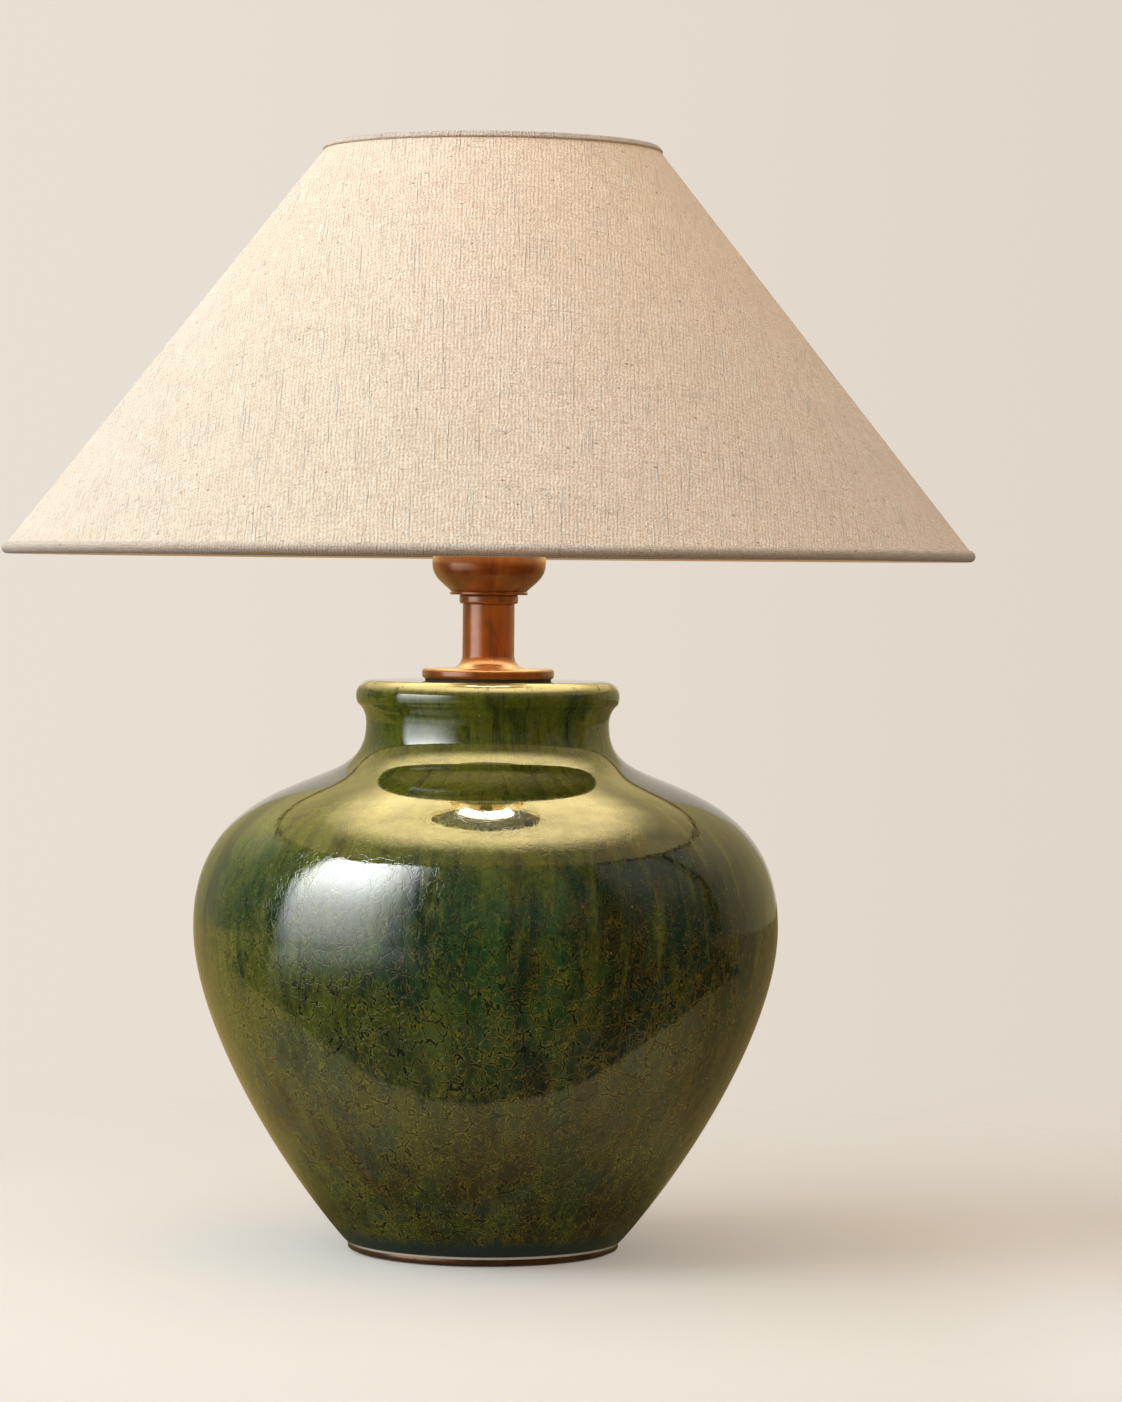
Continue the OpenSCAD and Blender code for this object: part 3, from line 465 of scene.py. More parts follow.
def dress(finish, *nodes):
    """Gives CAD nodes a better finish."""
    for name in nodes:
        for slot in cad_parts[name].material_slots:
            slot.material = finish


stained = wood("stained_wood", (0.060, 0.026, 0.012), (0.030, 0.013, 0.007),
               (0.010, 0.005, 0.003), (0.31, 0.12, 0.4), rough=0.3)
disc = turned("foot_disc", [(5.4, 15), (5.4, 7.3), (15.3, 7.3), (15.3, 1.3), (15.6, 1)]
              + [(62.9, 1), (63.35, 1.15), (63.5, 1.6), (63.5, 2.9), (63.35, 3.35), (62.9, 3.5)]
              + [(53.5, 3.5), (53.5, 14.6), (53.1, 15)], cuts=192)
settle(disc, "root", "base_wood", stained, "base_disc")
zinc = metal("zinc", (0.55, 0.56, 0.57), (0.40, 0.40, 0.40), 0.32)
dress(zinc, "base_nut", "base_lock_washer", "base_washer")
brass = metal("brass", (0.80, 0.58, 0.26), (0.62, 0.41, 0.16), 0.24)
dress(brass, "threaded_rod", "cup_nut")


# The jar: thrown stoneware in a thick green crackle glaze that ran down the shoulder in
# streaks, thinned to pale yellow on the rim, and was wiped off the foot before firing.
def bow(start, pull, push, end, steps=24):
    """Points along a cubic curve; its last point is left to what follows."""
    line = []
    for i in range(steps):
        t = i / steps
        s = 1 - t
        line.append(tuple(s ** 3 * a + 3 * s * s * t * b + 3 * s * t * t * c + t ** 3 * d
                          for a, b, c, d in zip(start, pull, push, end)))
    return line


def arc(centre, rx, rz, first, last, steps=10):
    """Points of a round, its angles counted in degrees from straight out."""
    return [(centre[0] + rx * math.cos(math.radians(first + (last - first) * i / steps)),
             centre[1] + rz * math.sin(math.radians(first + (last - first) * i / steps)))
            for i in range(steps + 1)]


def crazing(tree, where, wide):
    """Lines of a crack network, 1 on the line."""
    edge = put(tree, "TexVoronoi", {"Vector": where, "Scale": 160, "Randomness": 1.0},
               feature="DISTANCE_TO_EDGE").outputs["Distance"]
    return spread(tree, edge, wide * 0.35, wide, 1, 0)


def ridges(tree, where, scale, wide, level=0.5):
    """Thin curling lines, where a noise passes a level, and a band along one side of them for painted
    shadow.
    """
    off = calc(tree, "SUBTRACT", noise(tree, where, scale, 1.5, 0.5, 0.5), level)
    line = spread(tree, calc(tree, "ABSOLUTE", off), wide * 0.3, wide, 1, 0)
    side = calc(tree, "ABSOLUTE", calc(tree, "SUBTRACT", off, wide * 2))
    return line, spread(tree, side, wide * 0.5, wide * 1.3, 1, 0)


def drilled(piece, radius, depth, way, cuts):
    """Drills a round hole in a piece, where a matrix puts the drill."""
    bpy.ops.object.select_all(action="DESELECT")
    bpy.ops.mesh.primitive_cylinder_add(vertices=cuts, radius=radius, depth=depth)
    drill = bpy.context.active_object
    drill.matrix_world = way
    bpy.context.view_layer.objects.active = piece
    cut = piece.modifiers.new("hole", "BOOLEAN")
    cut.operation = "DIFFERENCE"
    cut.object = drill
    bpy.ops.object.modifier_apply(modifier="hole")
    bpy.data.objects.remove(drill)


# The coordinates of the glaze: its height, its distance from the axis, and a drawn-out one
# along which it ran
glaze, tree, shader = paint("glaze")
where = position(tree)
x, y, high = split(tree, where)
flat = put(tree, "CombineXYZ", {"X": x, "Y": y}).outputs[0]
out = vector(tree, "LENGTH", flat)
unrolled = vector(tree, "SCALE", vector(tree, "NORMALIZE", flat), 0.12)
drawn_out = put(tree, "CombineXYZ", {"Z": times(tree, high, 0.16)}).outputs[0]
runs = vector(tree, "ADD", unrolled, drawn_out)

lower_half = (0.10, 0.17)
shoulder = (0.20, 0.225)
wide_runs = noise(tree, runs, 34, 4, 0.6, 0.4)
columns = noise(tree, place(tree, runs, shift=(0.31, 0.83, 0)), 26, 3, 0.55, 0.3)
fine_runs = noise(tree, runs, 150, 4, 0.65, 0.3)
pools = noise(tree, place(tree, where, (1, 1, 0.7), (0.2, 0.1, 0)), 16, 4, 0.6, 0.6)
patches = noise(tree, place(tree, where, (1, 1, 0.6), (0.7, 0.4, 0.1)), 26, 5, 0.62, 0.8)
mottle = noise(tree, place(tree, where, (1, 1, 0.35), (0.4, 0, 0.2)), 74, 4, 0.6, 0.6)
grain = noise(tree, where, 420, 4, 0.7)
to_right = spread(tree, x, -0.02, 0.07)
painted_lit_left = spread(tree, x, 0.01, -0.12)
low_down = spread(tree, high, 0.12, 0.2, 1, 0)

# Its colours: olive low down, green above, with brown, teal and dark pools and pale streaks
lift = calc(tree, "ADD", high, times(tree, calc(tree, "SUBTRACT", pools, 0.5), 0.13))
colour = tint(tree, spread(tree, lift, 0.07, 0.14), (0.022, 0.027, 0.008), (0.023, 0.060, 0.017))
colour = tint(tree, spread(tree, lift, 0.155, 0.200), colour, (0.108, 0.122, 0.012))
# Painted light: the lower left, where the key light falls, is painted a lighter olive.
colour = tint(tree, times(tree, painted_lit_left, low_down, 0.85), colour, (0.080, 0.074, 0.010))
# The brown pools lean towards the right: partly the glaze's own brown, partly painted warm shade on the side
# away from the key light.
brown = spread(tree, calc(tree, "ADD", pools, times(tree, to_right, 0.14)), 0.50, 0.66, 0, 0.85)
brown = times(tree, brown, spread(tree, high, *shoulder, 1, 0.3))
colour = tint(tree, brown, colour, (0.018, 0.013, 0.004))
pooled = times(tree, spread(tree, patches, 0.50, 0.62, 0, 0.85),
               spread(tree, high, *shoulder, 1, 0.4))
teal = tint(tree, spread(tree, high, 0.08, 0.15), (0.017, 0.031, 0.021), (0.008, 0.026, 0.014))
colour = tint(tree, pooled, colour, teal)
column = times(tree, spread(tree, columns, 0.50, 0.60), spread(tree, high, 0.11, 0.17, 0, 0.85),
               spread(tree, high, 0.20, 0.23, 1, 0.25))
colour = tint(tree, column, colour, (0.007, 0.023, 0.014))
colour = tint(tree, spread(tree, mottle, 0.50, 0.70, 0, 0.5), colour, (0.064, 0.068, 0.013))
colour = tint(tree, spread(tree, mottle, 0.32, 0.47, 0.6, 0), colour, (0.010, 0.015, 0.006))
colour = tint(tree, spread(tree, wide_runs, 0.54, 0.72, 0, 0.6), colour, (0.078, 0.100, 0.017))
streaky = times(tree, spread(tree, fine_runs, 0.52, 0.72), spread(tree, high, 0.08, 0.19, 0.3, 0.6))
colour = tint(tree, streaky, colour, (0.115, 0.130, 0.022))
dark_runs = times(tree, spread(tree, fine_runs, 0.30, 0.46, 1, 0),
                  spread(tree, high, 0.05, 0.2, 0.4, 0.7))
colour = tint(tree, dark_runs, colour, (0.006, 0.014, 0.008))
colour = tint(tree, 1.0, colour, spread(tree, grain, 0.25, 0.75, 0.72, 1.28), "MULTIPLY")

# Its crackle: curling pale lines, their pale colour partly a painted highlight, each with a painted
# shadow along one side, and a mesh of fine dark cracks with pale edges, both clearest on the lower half
bent = put(tree, "TexNoise", {"Vector": where, "Scale": 190, "Detail": 2}).outputs["Color"]
bent = vector(tree, "SUBTRACT", bent, (0.5, 0.5, 0.5))
mesh = place(tree, vector(tree, "ADD", where, vector(tree, "SCALE", bent, 0.006)), (1, 1, 0.75))
cracks = crazing(tree, mesh, 0.050)
beside = calc(tree, "SUBTRACT", crazing(tree, mesh, 0.125), cracks)
broken = spread(tree, noise(tree, where, 170, 2), 0.48, 0.55)
line, line_side = ridges(tree, place(tree, where, (1, 1, 0.5)), 270, 0.024)
curl, curl_side = ridges(tree, place(tree, where, (1, 1, 0.6), (0.3, 0.5, 0.1)), 400, 0.030, 0.52)
parted = spread(tree, noise(tree, place(tree, where, (1, 1, 0.6), (0.9, 0, 0)), 190, 2), 0.50, 0.57)
line = times(tree, line, broken)
curl = times(tree, curl, parted)
painted_shadow_side = calc(tree, "MAXIMUM", times(tree, line_side, broken), times(tree, curl_side, parted))
drawn = spread(tree, high, 0.13, 0.21, 1, 0.35)
colour = tint(tree, times(tree, painted_shadow_side, drawn, 0.38), colour, (0.005, 0.006, 0.003))
pale_line_and_highlight = times(tree, calc(tree, "MAXIMUM", line, curl), drawn, 0.5)
line_colour = tint(tree, brown, (0.17, 0.150, 0.018), (0.15, 0.090, 0.012))
colour = tint(tree, pale_line_and_highlight, colour, line_colour)
meshed = times(tree, drawn, spread(tree, high, *lower_half, 1, 0.5))
beside = times(tree, beside, meshed, spread(tree, mottle, 0.35, 0.6, 0.1, 0.65))
colour = tint(tree, beside, colour, line_colour)
colour = tint(tree, times(tree, cracks, meshed, 0.9), colour, (0.004, 0.006, 0.003))
spots = put(tree, "TexVoronoi", {"Vector": where, "Scale": 210, "Randomness": 1.0}).outputs["Distance"]
speck = times(tree, spread(tree, spots, 0.05, 0.12, 1, 0),
              spread(tree, noise(tree, where, 130, 1), 0.56, 0.62))
colour = tint(tree, times(tree, speck, 0.7), colour, (0.30, 0.26, 0.08))

# Its edges: a dark teal pool above the foot, the pale rim, the bare foot ring
uneven = times(tree, calc(tree, "SUBTRACT", fine_runs, 0.5), 0.008)
colour = tint(tree, spread(tree, calc(tree, "ADD", high, uneven), 0.0085, 0.0145, 0.92, 0),
              colour, (0.009, 0.024, 0.024))
torn = noise(tree, place(tree, where, (1, 1, 0.3)), 210, 3, 0.6)
thin = times(tree, spread(tree, high, 0.2622, 0.2652), spread(tree, out, 0.0555, 0.0585),
             spread(tree, torn, 0.33, 0.42, 0.15, 1))
colour = tint(tree, times(tree, thin, 0.9), colour, (0.50, 0.45, 0.20))
feed(tree, shader.inputs["Base Color"],
     tint(tree, spread(tree, high, 0.0045, 0.0050, 1, 0), colour, (0.62, 0.58, 0.52)))
feed(tree, shader.inputs["Roughness"], spread(tree, grain, 0.3, 0.8, 0.02, 0.08))
shader.inputs["IOR"].default_value = 1.58

# Its skin: soft swells and ripples, pinched along the crackle, and calm on the shoulder
swell = noise(tree, place(tree, where, (1, 1, 0.5)), 95, 2, 0.5)
ripple = times(tree, noise(tree, place(tree, where, (1, 1, 0.4)), 260, 2, 0.5), 0.16)
pinch = times(tree, calc(tree, "SUBTRACT", painted_shadow_side, pale_line_and_highlight), 0.07)
crack_depth = spread(tree, high, *lower_half, 0.45, 0.07)
pinch = calc(tree, "ADD", pinch, times(tree, cracks, crack_depth))
rough_skin = calc(tree, "SUBTRACT", calc(tree, "ADD", swell, ripple), pinch)
calm = spread(tree, high, 0.195, 0.218, 1, 0.15)
relief(tree, shader, times(tree, rough_skin, calm), 0.00019)

belly = bow((63.9, 3.5), (95.9, 39.5), (137, 106.5), (137, 151.5), 44)
belly += bow((137, 151.5), (137, 178.5), (128, 200.4), (95, 215.4), 36)
belly += bow((95, 215.4), (73, 225.4), (57.1, 226.4), (57.1, 246.4), 30)
belly += bow((57.1, 246.4), (57.1, 250.6), (58.0, 253.2), (60.2, 255.3), 12)
belly += bow((60.2, 255.3), (61.3, 255.9), (61.9, 257.6), (61.9, 259.8), 8)
belly[0] = (63.6, 3.5)
belly.insert(1, (63.95, 3.9))
inside = bow((51.4, 222), (66, 217), (88, 210.5), (95, 207), 20)
inside += bow((95, 207), (122, 194), (131, 176), (131, 151.5), 24)
inside += bow((131, 151.5), (131, 108), (98, 56), (76, 27), 26)
jar = turned("glazed_jar", [(54, 3.5)] + belly + arc((54.8, 259.8), 7.1, 7.1, 0, 90, 14)
             + [(30, 266.9), (6.8, 266.9), (6.4, 266.5), (6.4, 258.9), (51, 258.9)] + inside
             + [(74, 23.5), (6.4, 23.5), (6.4, 15.5), (53.6, 15.5), (54, 15.1)],
             cuts=200, angle=50)
inlet_at = (0, 0.083066, 0.0275)
inlet_lean = 36.22
inlet = Matrix.Translation(inlet_at) @ Matrix.Rotation(-math.radians(90 + inlet_lean), 4, "X")
drilled(jar, 0.0055, 0.04, inlet, 48)
settle(jar, "root", "glaze", glaze, "jar")


# The cord inlet: a black nylon bushing low in the jar's back, for the cord to pass through.
# It snaps into its hole, and its lip covers the hole's edge.
def plastic(name, colour, rough, tone=1.25):
    """Moulded plastic, glass or card with a faint grain."""
    finish, tree, shader = paint(name)
    where = position(tree)
    grain = noise(tree, where, 1400, 3, 0.6)
    clouds = noise(tree, where, 90, 2)
    feed(tree, shader.inputs["Base Color"],
         tint(tree, spread(tree, clouds, 0.3, 0.7), colour, [tone * c for c in colour]))
    feed(tree, shader.inputs["Roughness"], spread(tree, clouds, 0.3, 0.7, rough, rough + 0.1))
    relief(tree, shader, grain, 0.00004)
    return finish


nylon = plastic("nylon", (0.012, 0.012, 0.012), 0.42)
bushing = turned("inlet_bushing", [(3.5, -7.2), (3.5, 1.2), (4.1, 2), (6.6, 2), (7.3, 1.6), (7.5, 1.0)]
                 + [(7.5, 0.3), (7.4, 0.2), (5.2, 0.2), (5.2, -6.4), (6.1, -6.5), (6.2, -6.8)]
                 + [(5.4, -7.5), (3.8, -7.5)], cuts=48)
bushing.matrix_world = inlet
bpy.ops.object.transform_apply(location=True, rotation=True, scale=True)
settle(bushing, "root", "bushing", nylon, "cord_bushing")


# The neck: a flanged column, a collar and a cup, each turned from one billet, stained warm
# brown and lacquered. They are stacked on the rod over a thin black gasket.
rubber = plastic("rubber", (0.02, 0.018, 0.016), 0.7)
dress(rubber, "neck_gasket")
warm = wood("turned_wood", (0.33, 0.080, 0.003), (0.18, 0.034, 0.0015), (0.050, 0.009, 0.001),
            (0.11, 0.23, 0.05), coat=1.0)
column = turned("column", [(5.4, 267.7)] + arc((29.2, 269.5), 1.8, 1.8, -90, 0)
                + arc((29.2, 270.9), 1.8, 1.8, 0, 90)
                + bow((17.5, 272.7), (14.5, 273.3), (12.2, 275.2), (12.2, 279.2))
                + [(12.2, 279.2), (12.2, 302.6), (11.9, 302.9), (5.4, 302.9)], cuts=128)
settle(column, "root", "turned_wood", warm, "neck_column")
collar = turned("collar", [(5.4, 302.9), (12.7, 302.9), (12.9, 303.0)]
                + arc((12.9, 303.9), 0.9, 0.9, -70, 0, 6) + arc((12.9, 306.2), 0.9, 0.9, 0, 80, 8)
                + [(12.8, 307.1), (5.4, 307.1)], cuts=128)
settle(collar, "root", "turned_wood", warm, "neck_collar")
bowl = wood("turned_bowl", (0.26, 0.058, 0.0025), (0.15, 0.027, 0.0015), (0.05, 0.009, 0.001),
            (0.57, 0.31, 0.22), coat=0.8)
cup = turned("cup", [(5.4, 307.1), (17.9, 307.1), (18.3, 307.5), (18.3, 308.2), (18.0, 308.6)]
             + bow((17.7, 308.6), (21.0, 312.2), (26.6, 314.9), (26.6, 321.4))
             + bow((26.6, 321.4), (26.6, 323.4), (26.3, 325), (26.1, 326.1), 8)
             + arc((24.6, 326.1), 1.5, 1.5, 0, 180, 12)
             + bow((23.1, 326.1), (23.3, 324), (23.6, 322.5), (23.6, 321.4), 8)
             + bow((23.6, 321.4), (23.4, 316.5), (20.5, 314.2), (16.6, 312.6), 14)
             + [(16.6, 312.6), (5.4, 312.6)], cuts=144)
settle(cup, "root", "turned_wood", bowl, "neck_cup")


# The saddle: a brass-plated strip, bent into a U and clamped on the rod under the socket. Its
# two tongues hold the harp's legs.
dress(brass, "harp_saddle")


# The socket: a brass cap and shell over a card sleeve, and in them a porcelain block with the
# switch, two terminal screws, the centre contact and the screw shell.
def threaded(piece, low, high, pitch, depth):
    """Rolls a thread into the walls of a turned sheet, fading out at both ends."""
    for v in piece.data.vertices:
        z = 1000 * v.co.z
        if low < z < high:
            ease = min(1, (z - low) / pitch, (high - z) / pitch)
            turn = math.atan2(v.co.y, v.co.x) / (2 * math.pi)
            r = 1000 * v.co.xy.length
            v.co.xy *= 1 + ease * depth / r * (math.cos(2 * math.pi * (z / pitch - turn)) - 1) / 2


def stepped(r, low, high, steps):
    """Points straight up a wall."""
    return [(r, low + (high - low) * i / steps) for i in range(steps + 1)]


cap = turned("brass_cap", [(5.2, 317.4), (7.2, 317.4), (7.5, 317.7), (7.5, 322.4)]
             + arc((9.0, 330.4), 7.8, 8.0, -90, 0, 14)[1:]
             + [(16.8, 336.4), (17.0, 336.7), (17.0, 337.1), (16.8, 337.4), (16.25, 337.4)]
             + [(16.25, 330.4)] + arc((9.0, 330.4), 7.2, 7.4, 0, -90, 12)[1:] + [(5.2, 323.0)],
             cuts=96)
settle(cap, "root", "brass", brass, "socket_cap")
shell = turned("brass_shell", [(15.5, 330.4), (16.1, 330.4), (16.1, 346), (16.35, 346.5), (16.1, 347)]
               + [(16.1, 370.8), (16.35, 371.3), (16.1, 371.8), (16.1, 372.6)]
               + arc((16.1, 373.6), 0.8, 0.8, -70, 90, 8) + [(15.6, 374.2), (15.5, 373.9)], cuts=96)
stem_at = (0, -0.016, 0.3416)
stem_way = Matrix.Translation(stem_at) @ Matrix.Rotation(math.radians(90), 4, "X")
drilled(shell, 0.003, 0.008, stem_way, 40)
settle(shell, "root", "brass", brass, "socket_shell")
bulb_pitch = 3.63
screw = turned("socket_thread", [(6, 348.4)] + stepped(13.6, 348.4, 371.4, 70)
               + stepped(13.2, 371.4, 348.8, 70) + [(6, 348.8)], cuts=72, angle=60)
threaded(screw, 351, 371, bulb_pitch, 0.1)
settle(screw, "root", "brass", brass, "screw_shell")
porcelain = plastic("porcelain", (0.70, 0.67, 0.60), 0.2, 0.92)
dress(porcelain, "socket_insulator")
dress(brass, "terminal_screws", "centre_contact", "switch_stem")
card_board = plastic("card", (0.10, 0.075, 0.05), 0.85)
dress(card_board, "card_sleeve")


# The switch: a fluted black knob of moulded resin, pressed on the brass stem of the socket's
# switch. It turns the lamp on and off.
bakelite = plastic("bakelite", (0.014, 0.011, 0.010), 0.28)
dress(bakelite, "switch_knob")


# The bulb: a frosted LED lamp with a nickel screw cap, a black glass insulator, a white
# housing and an opal globe over its board. It glows warm.
nickel = metal("nickel", (0.66, 0.64, 0.60), (0.52, 0.50, 0.46), 0.22)
tip = turned("solder_tip", [(0, 350.6), (3.2, 350.6), (4.4, 350.9), (4.8, 351.4), (4.8, 352), (0, 352)],
             cuts=48)
settle(tip, "bulb", "nickel", nickel, "bulb_contact")
glass = plastic("black_glass", (0.010, 0.010, 0.012), 0.08)
dress(glass, "bulb_insulator")
thread = turned("bulb_thread", [(7.9, 356), (9.9, 356), (12.9, 359)] + stepped(12.9, 359.2, 375.6, 60)
                + stepped(12.5, 375.6, 359.6, 60) + [(9.9, 356.4), (7.9, 356.4)], cuts=72, angle=60)
threaded(thread, 359.5, 374.5, bulb_pitch, 0.5)
settle(thread, "bulb", "nickel", nickel, "bulb_cap")
housing_white = plastic("housing", (0.66, 0.65, 0.62), 0.6, 0.96)
housing_white.node_tree.nodes["Principled BSDF"].inputs["Specular IOR Level"].default_value = 0.05
side = bow((13.0, 375.8), (13.0, 387.6), (19.38, 404.6), (25.38, 412.6), 24)
inner = bow((23.78, 412.6), (17.78, 404.6), (11.4, 387.6), (11.4, 375.8), 24)
housing = turned("bulb_body", [(10.8, 371.6), (12.3, 371.6), (12.3, 375.6)] + side
                 + [(25.38, 412.6)] + inner + [(10.8, 375.6)], cuts=96)
settle(housing, "bulb", "bulb_white", housing_white, "bulb_housing")
board = plastic("board", (0.75, 0.75, 0.72), 0.5, 0.9)
dress(board, "led_board")

opal, tree, shader = paint("opal")
milk = noise(tree, position(tree), 60, 2)
feed(tree, shader.inputs["Base Color"], tint(tree, milk, (0.84, 0.82, 0.78), (0.78, 0.75, 0.69)))
shader.inputs["Roughness"].default_value = 0.4
shader.inputs["Emission Color"].default_value = (1.0, 0.72, 0.40, 1)
shader.inputs["Emission Strength"].default_value = 2.0
globe_centre = (0, 428.6)
globe = turned("opal_globe", arc(globe_centre, 30, 30, -32.23, 90, 40)
               + arc(globe_centre, 29, 29, 90, -33.49, 40), cuts=96)
settle(globe, "bulb", "opal", opal, "bulb_globe")


# The harp: one brass-plated wire, bent round the bulb, flattened into an eye at its crown.
# A sleeve holds each leg on its tongue of the saddle.
def walk(at, heading, moves, steps):
    """Points of a walk in the XZ plane; each move is (straight, bend radius, turn to the left)."""
    line = [at]
    for straight, radius, turn in moves:
        at = (at[0] + straight * math.cos(heading), at[1] + straight * math.sin(heading))
        line.append(at)
        if turn:
            bend = math.copysign(radius, turn)
            centre = (at[0] - bend * math.sin(heading), at[1] + bend * math.cos(heading))
            for i in range(1, steps + 1):
                g = heading + turn * i / steps
                line.append((centre[0] + bend * math.sin(g), centre[1] - bend * math.cos(g)))
            at, heading = line[-1], heading + turn
    return line


def wire(name, line, thick):
    """A round wire along points in the XZ plane, in millimetres."""
    curve = bpy.data.curves.new(name, "CURVE")
    curve.dimensions = "3D"
    spline = curve.splines.new("POLY")
    spline.points.add(len(line) - 1)
    for point, (x, z) in zip(spline.points, line):
        point.co = (x / 1000, 0, z / 1000, 1)
    curve.bevel_depth = thick / 2000
    curve.bevel_resolution = 4
    curve.use_fill_caps = True
    made = bpy.data.objects.new(name, curve)
    bpy.context.scene.collection.objects.link(made)
    bpy.ops.object.select_all(action="DESELECT")
    made.select_set(True)
    bpy.context.view_layer.objects.active = made
    bpy.ops.object.convert(target="MESH")
    made = bpy.context.active_object
    bpy.ops.object.mode_set(mode="EDIT")
    closed(40)
    return made


leg_out = 25.95
right = walk((leg_out, 351.0), math.radians(90), [
    (20.0, 14, math.radians(-45)), (17.4, 50, math.radians(45)),
    (25.85, 48, math.radians(90)), (3.5, 0, 0)], 18)
whole = right + [(-x, z) for x, z in reversed(right)]
bar = wire("harp_wire", whole, 3.4)
eye_ring = turned("harp_eye", [(2.9, 501.5), (3.1, 501.3), (7.1, 501.3), (7.5, 501.7), (7.5, 503.9)]
                  + [(7.1, 504.3), (3.1, 504.3), (2.9, 504.1)], cuts=64)
eye_at = (0, 0, 0.5028)
drilled(bar, 0.005, 0.02, Matrix.Translation(eye_at), 64)
joint = bar.modifiers.new("eye", "BOOLEAN")
joint.operation = "UNION"
joint.object = eye_ring
bpy.ops.object.modifier_apply(modifier="eye")
bpy.data.objects.remove(eye_ring)
settle(bar, "harp", "harp_metal", brass, "harp")
for side, x in (("left", -leg_out), ("right", leg_out)):
    sleeve = turned("leg_sleeve_" + side, [(2.9, 344.2), (3.1, 344.0), (3.5, 344.0), (3.7, 344.3)]
                    + [(3.7, 345.6), (3.5, 345.9), (3.7, 346.2), (3.7, 356.6), (3.6, 357.6), (3.6, 359.6)]
                    + [(3.3, 360), (2.2, 360), (2.0, 359.8), (2.0, 356), (2.9, 356)], cuts=40)
    for v in sleeve.data.vertices:
        v.co.x += x / 1000
    settle(sleeve, "sleeve_" + side, "harp_metal", brass, "sleeve_" + side)


# The swivel: a threaded brass stud with a flange, on which the shade's fitter lies. It is
# riveted through the harp's eye so that it turns.
stud_pitch = 0.794
stud = turned("swivel_stud", [(0, 499.5), (4.0, 499.5), (4.6, 499.9), (4.6, 500.9), (4.4, 501.1)]
              + [(2.6, 501.1), (2.6, 504.3), (8.8, 504.3), (9, 504.5), (9, 506.1), (8.8, 506.3)]
              + [(3.1, 506.3)] + stepped(3.1, 507, 516.2, 74) + [(2.6, 516.8), (0, 516.8)],
              cuts=48, angle=60)
threaded(stud, 507, 516.4, stud_pitch, 0.35)
settle(stud, "swivel", "harp_metal", brass, "harp_swivel")


# The shade's frame: a fitter washer with three arms, welded to the top ring, and a bottom
# ring, all in brass-plated steel wire. The linen's edges are folded round both rings.
dress(brass, "spider", "top_ring", "bottom_ring")


# The liner: smooth white styrene, rolled into a cone between the two rings. It stiffens the
# linen, and the bulb lights it from inside.
lean = 0.619848
rise = 0.784723


def on_cone(up, out):
    """(radius, height) of a place on the cone: up along the cover, out from its face."""
    return (225.5 - lean * up + rise * out, 328.1 + rise * up + lean * out)


styrene, tree, shader = paint("liner")
where = position(tree)
clouds = noise(tree, where, 24, 3, 0.6)
feed(tree, shader.inputs["Base Color"], tint(tree, clouds, (0.86, 0.80, 0.68), (0.80, 0.73, 0.60)))
shader.inputs["Roughness"].default_value = 0.55
relief(tree, shader, noise(tree, where, 500, 3, 0.6), 0.00005)
liner_slant = 239.4
liner = turned("cone_liner", [on_cone(0.1, -0.8)]
               + [on_cone(liner_slant * i / 24, -0.82) for i in range(1, 25)]
               + [on_cone(liner_slant * i / 24, -1.58) for i in range(24, -1, -1)], cuts=160)
settle(liner, "shade", "liner", styrene, "shade_liner")


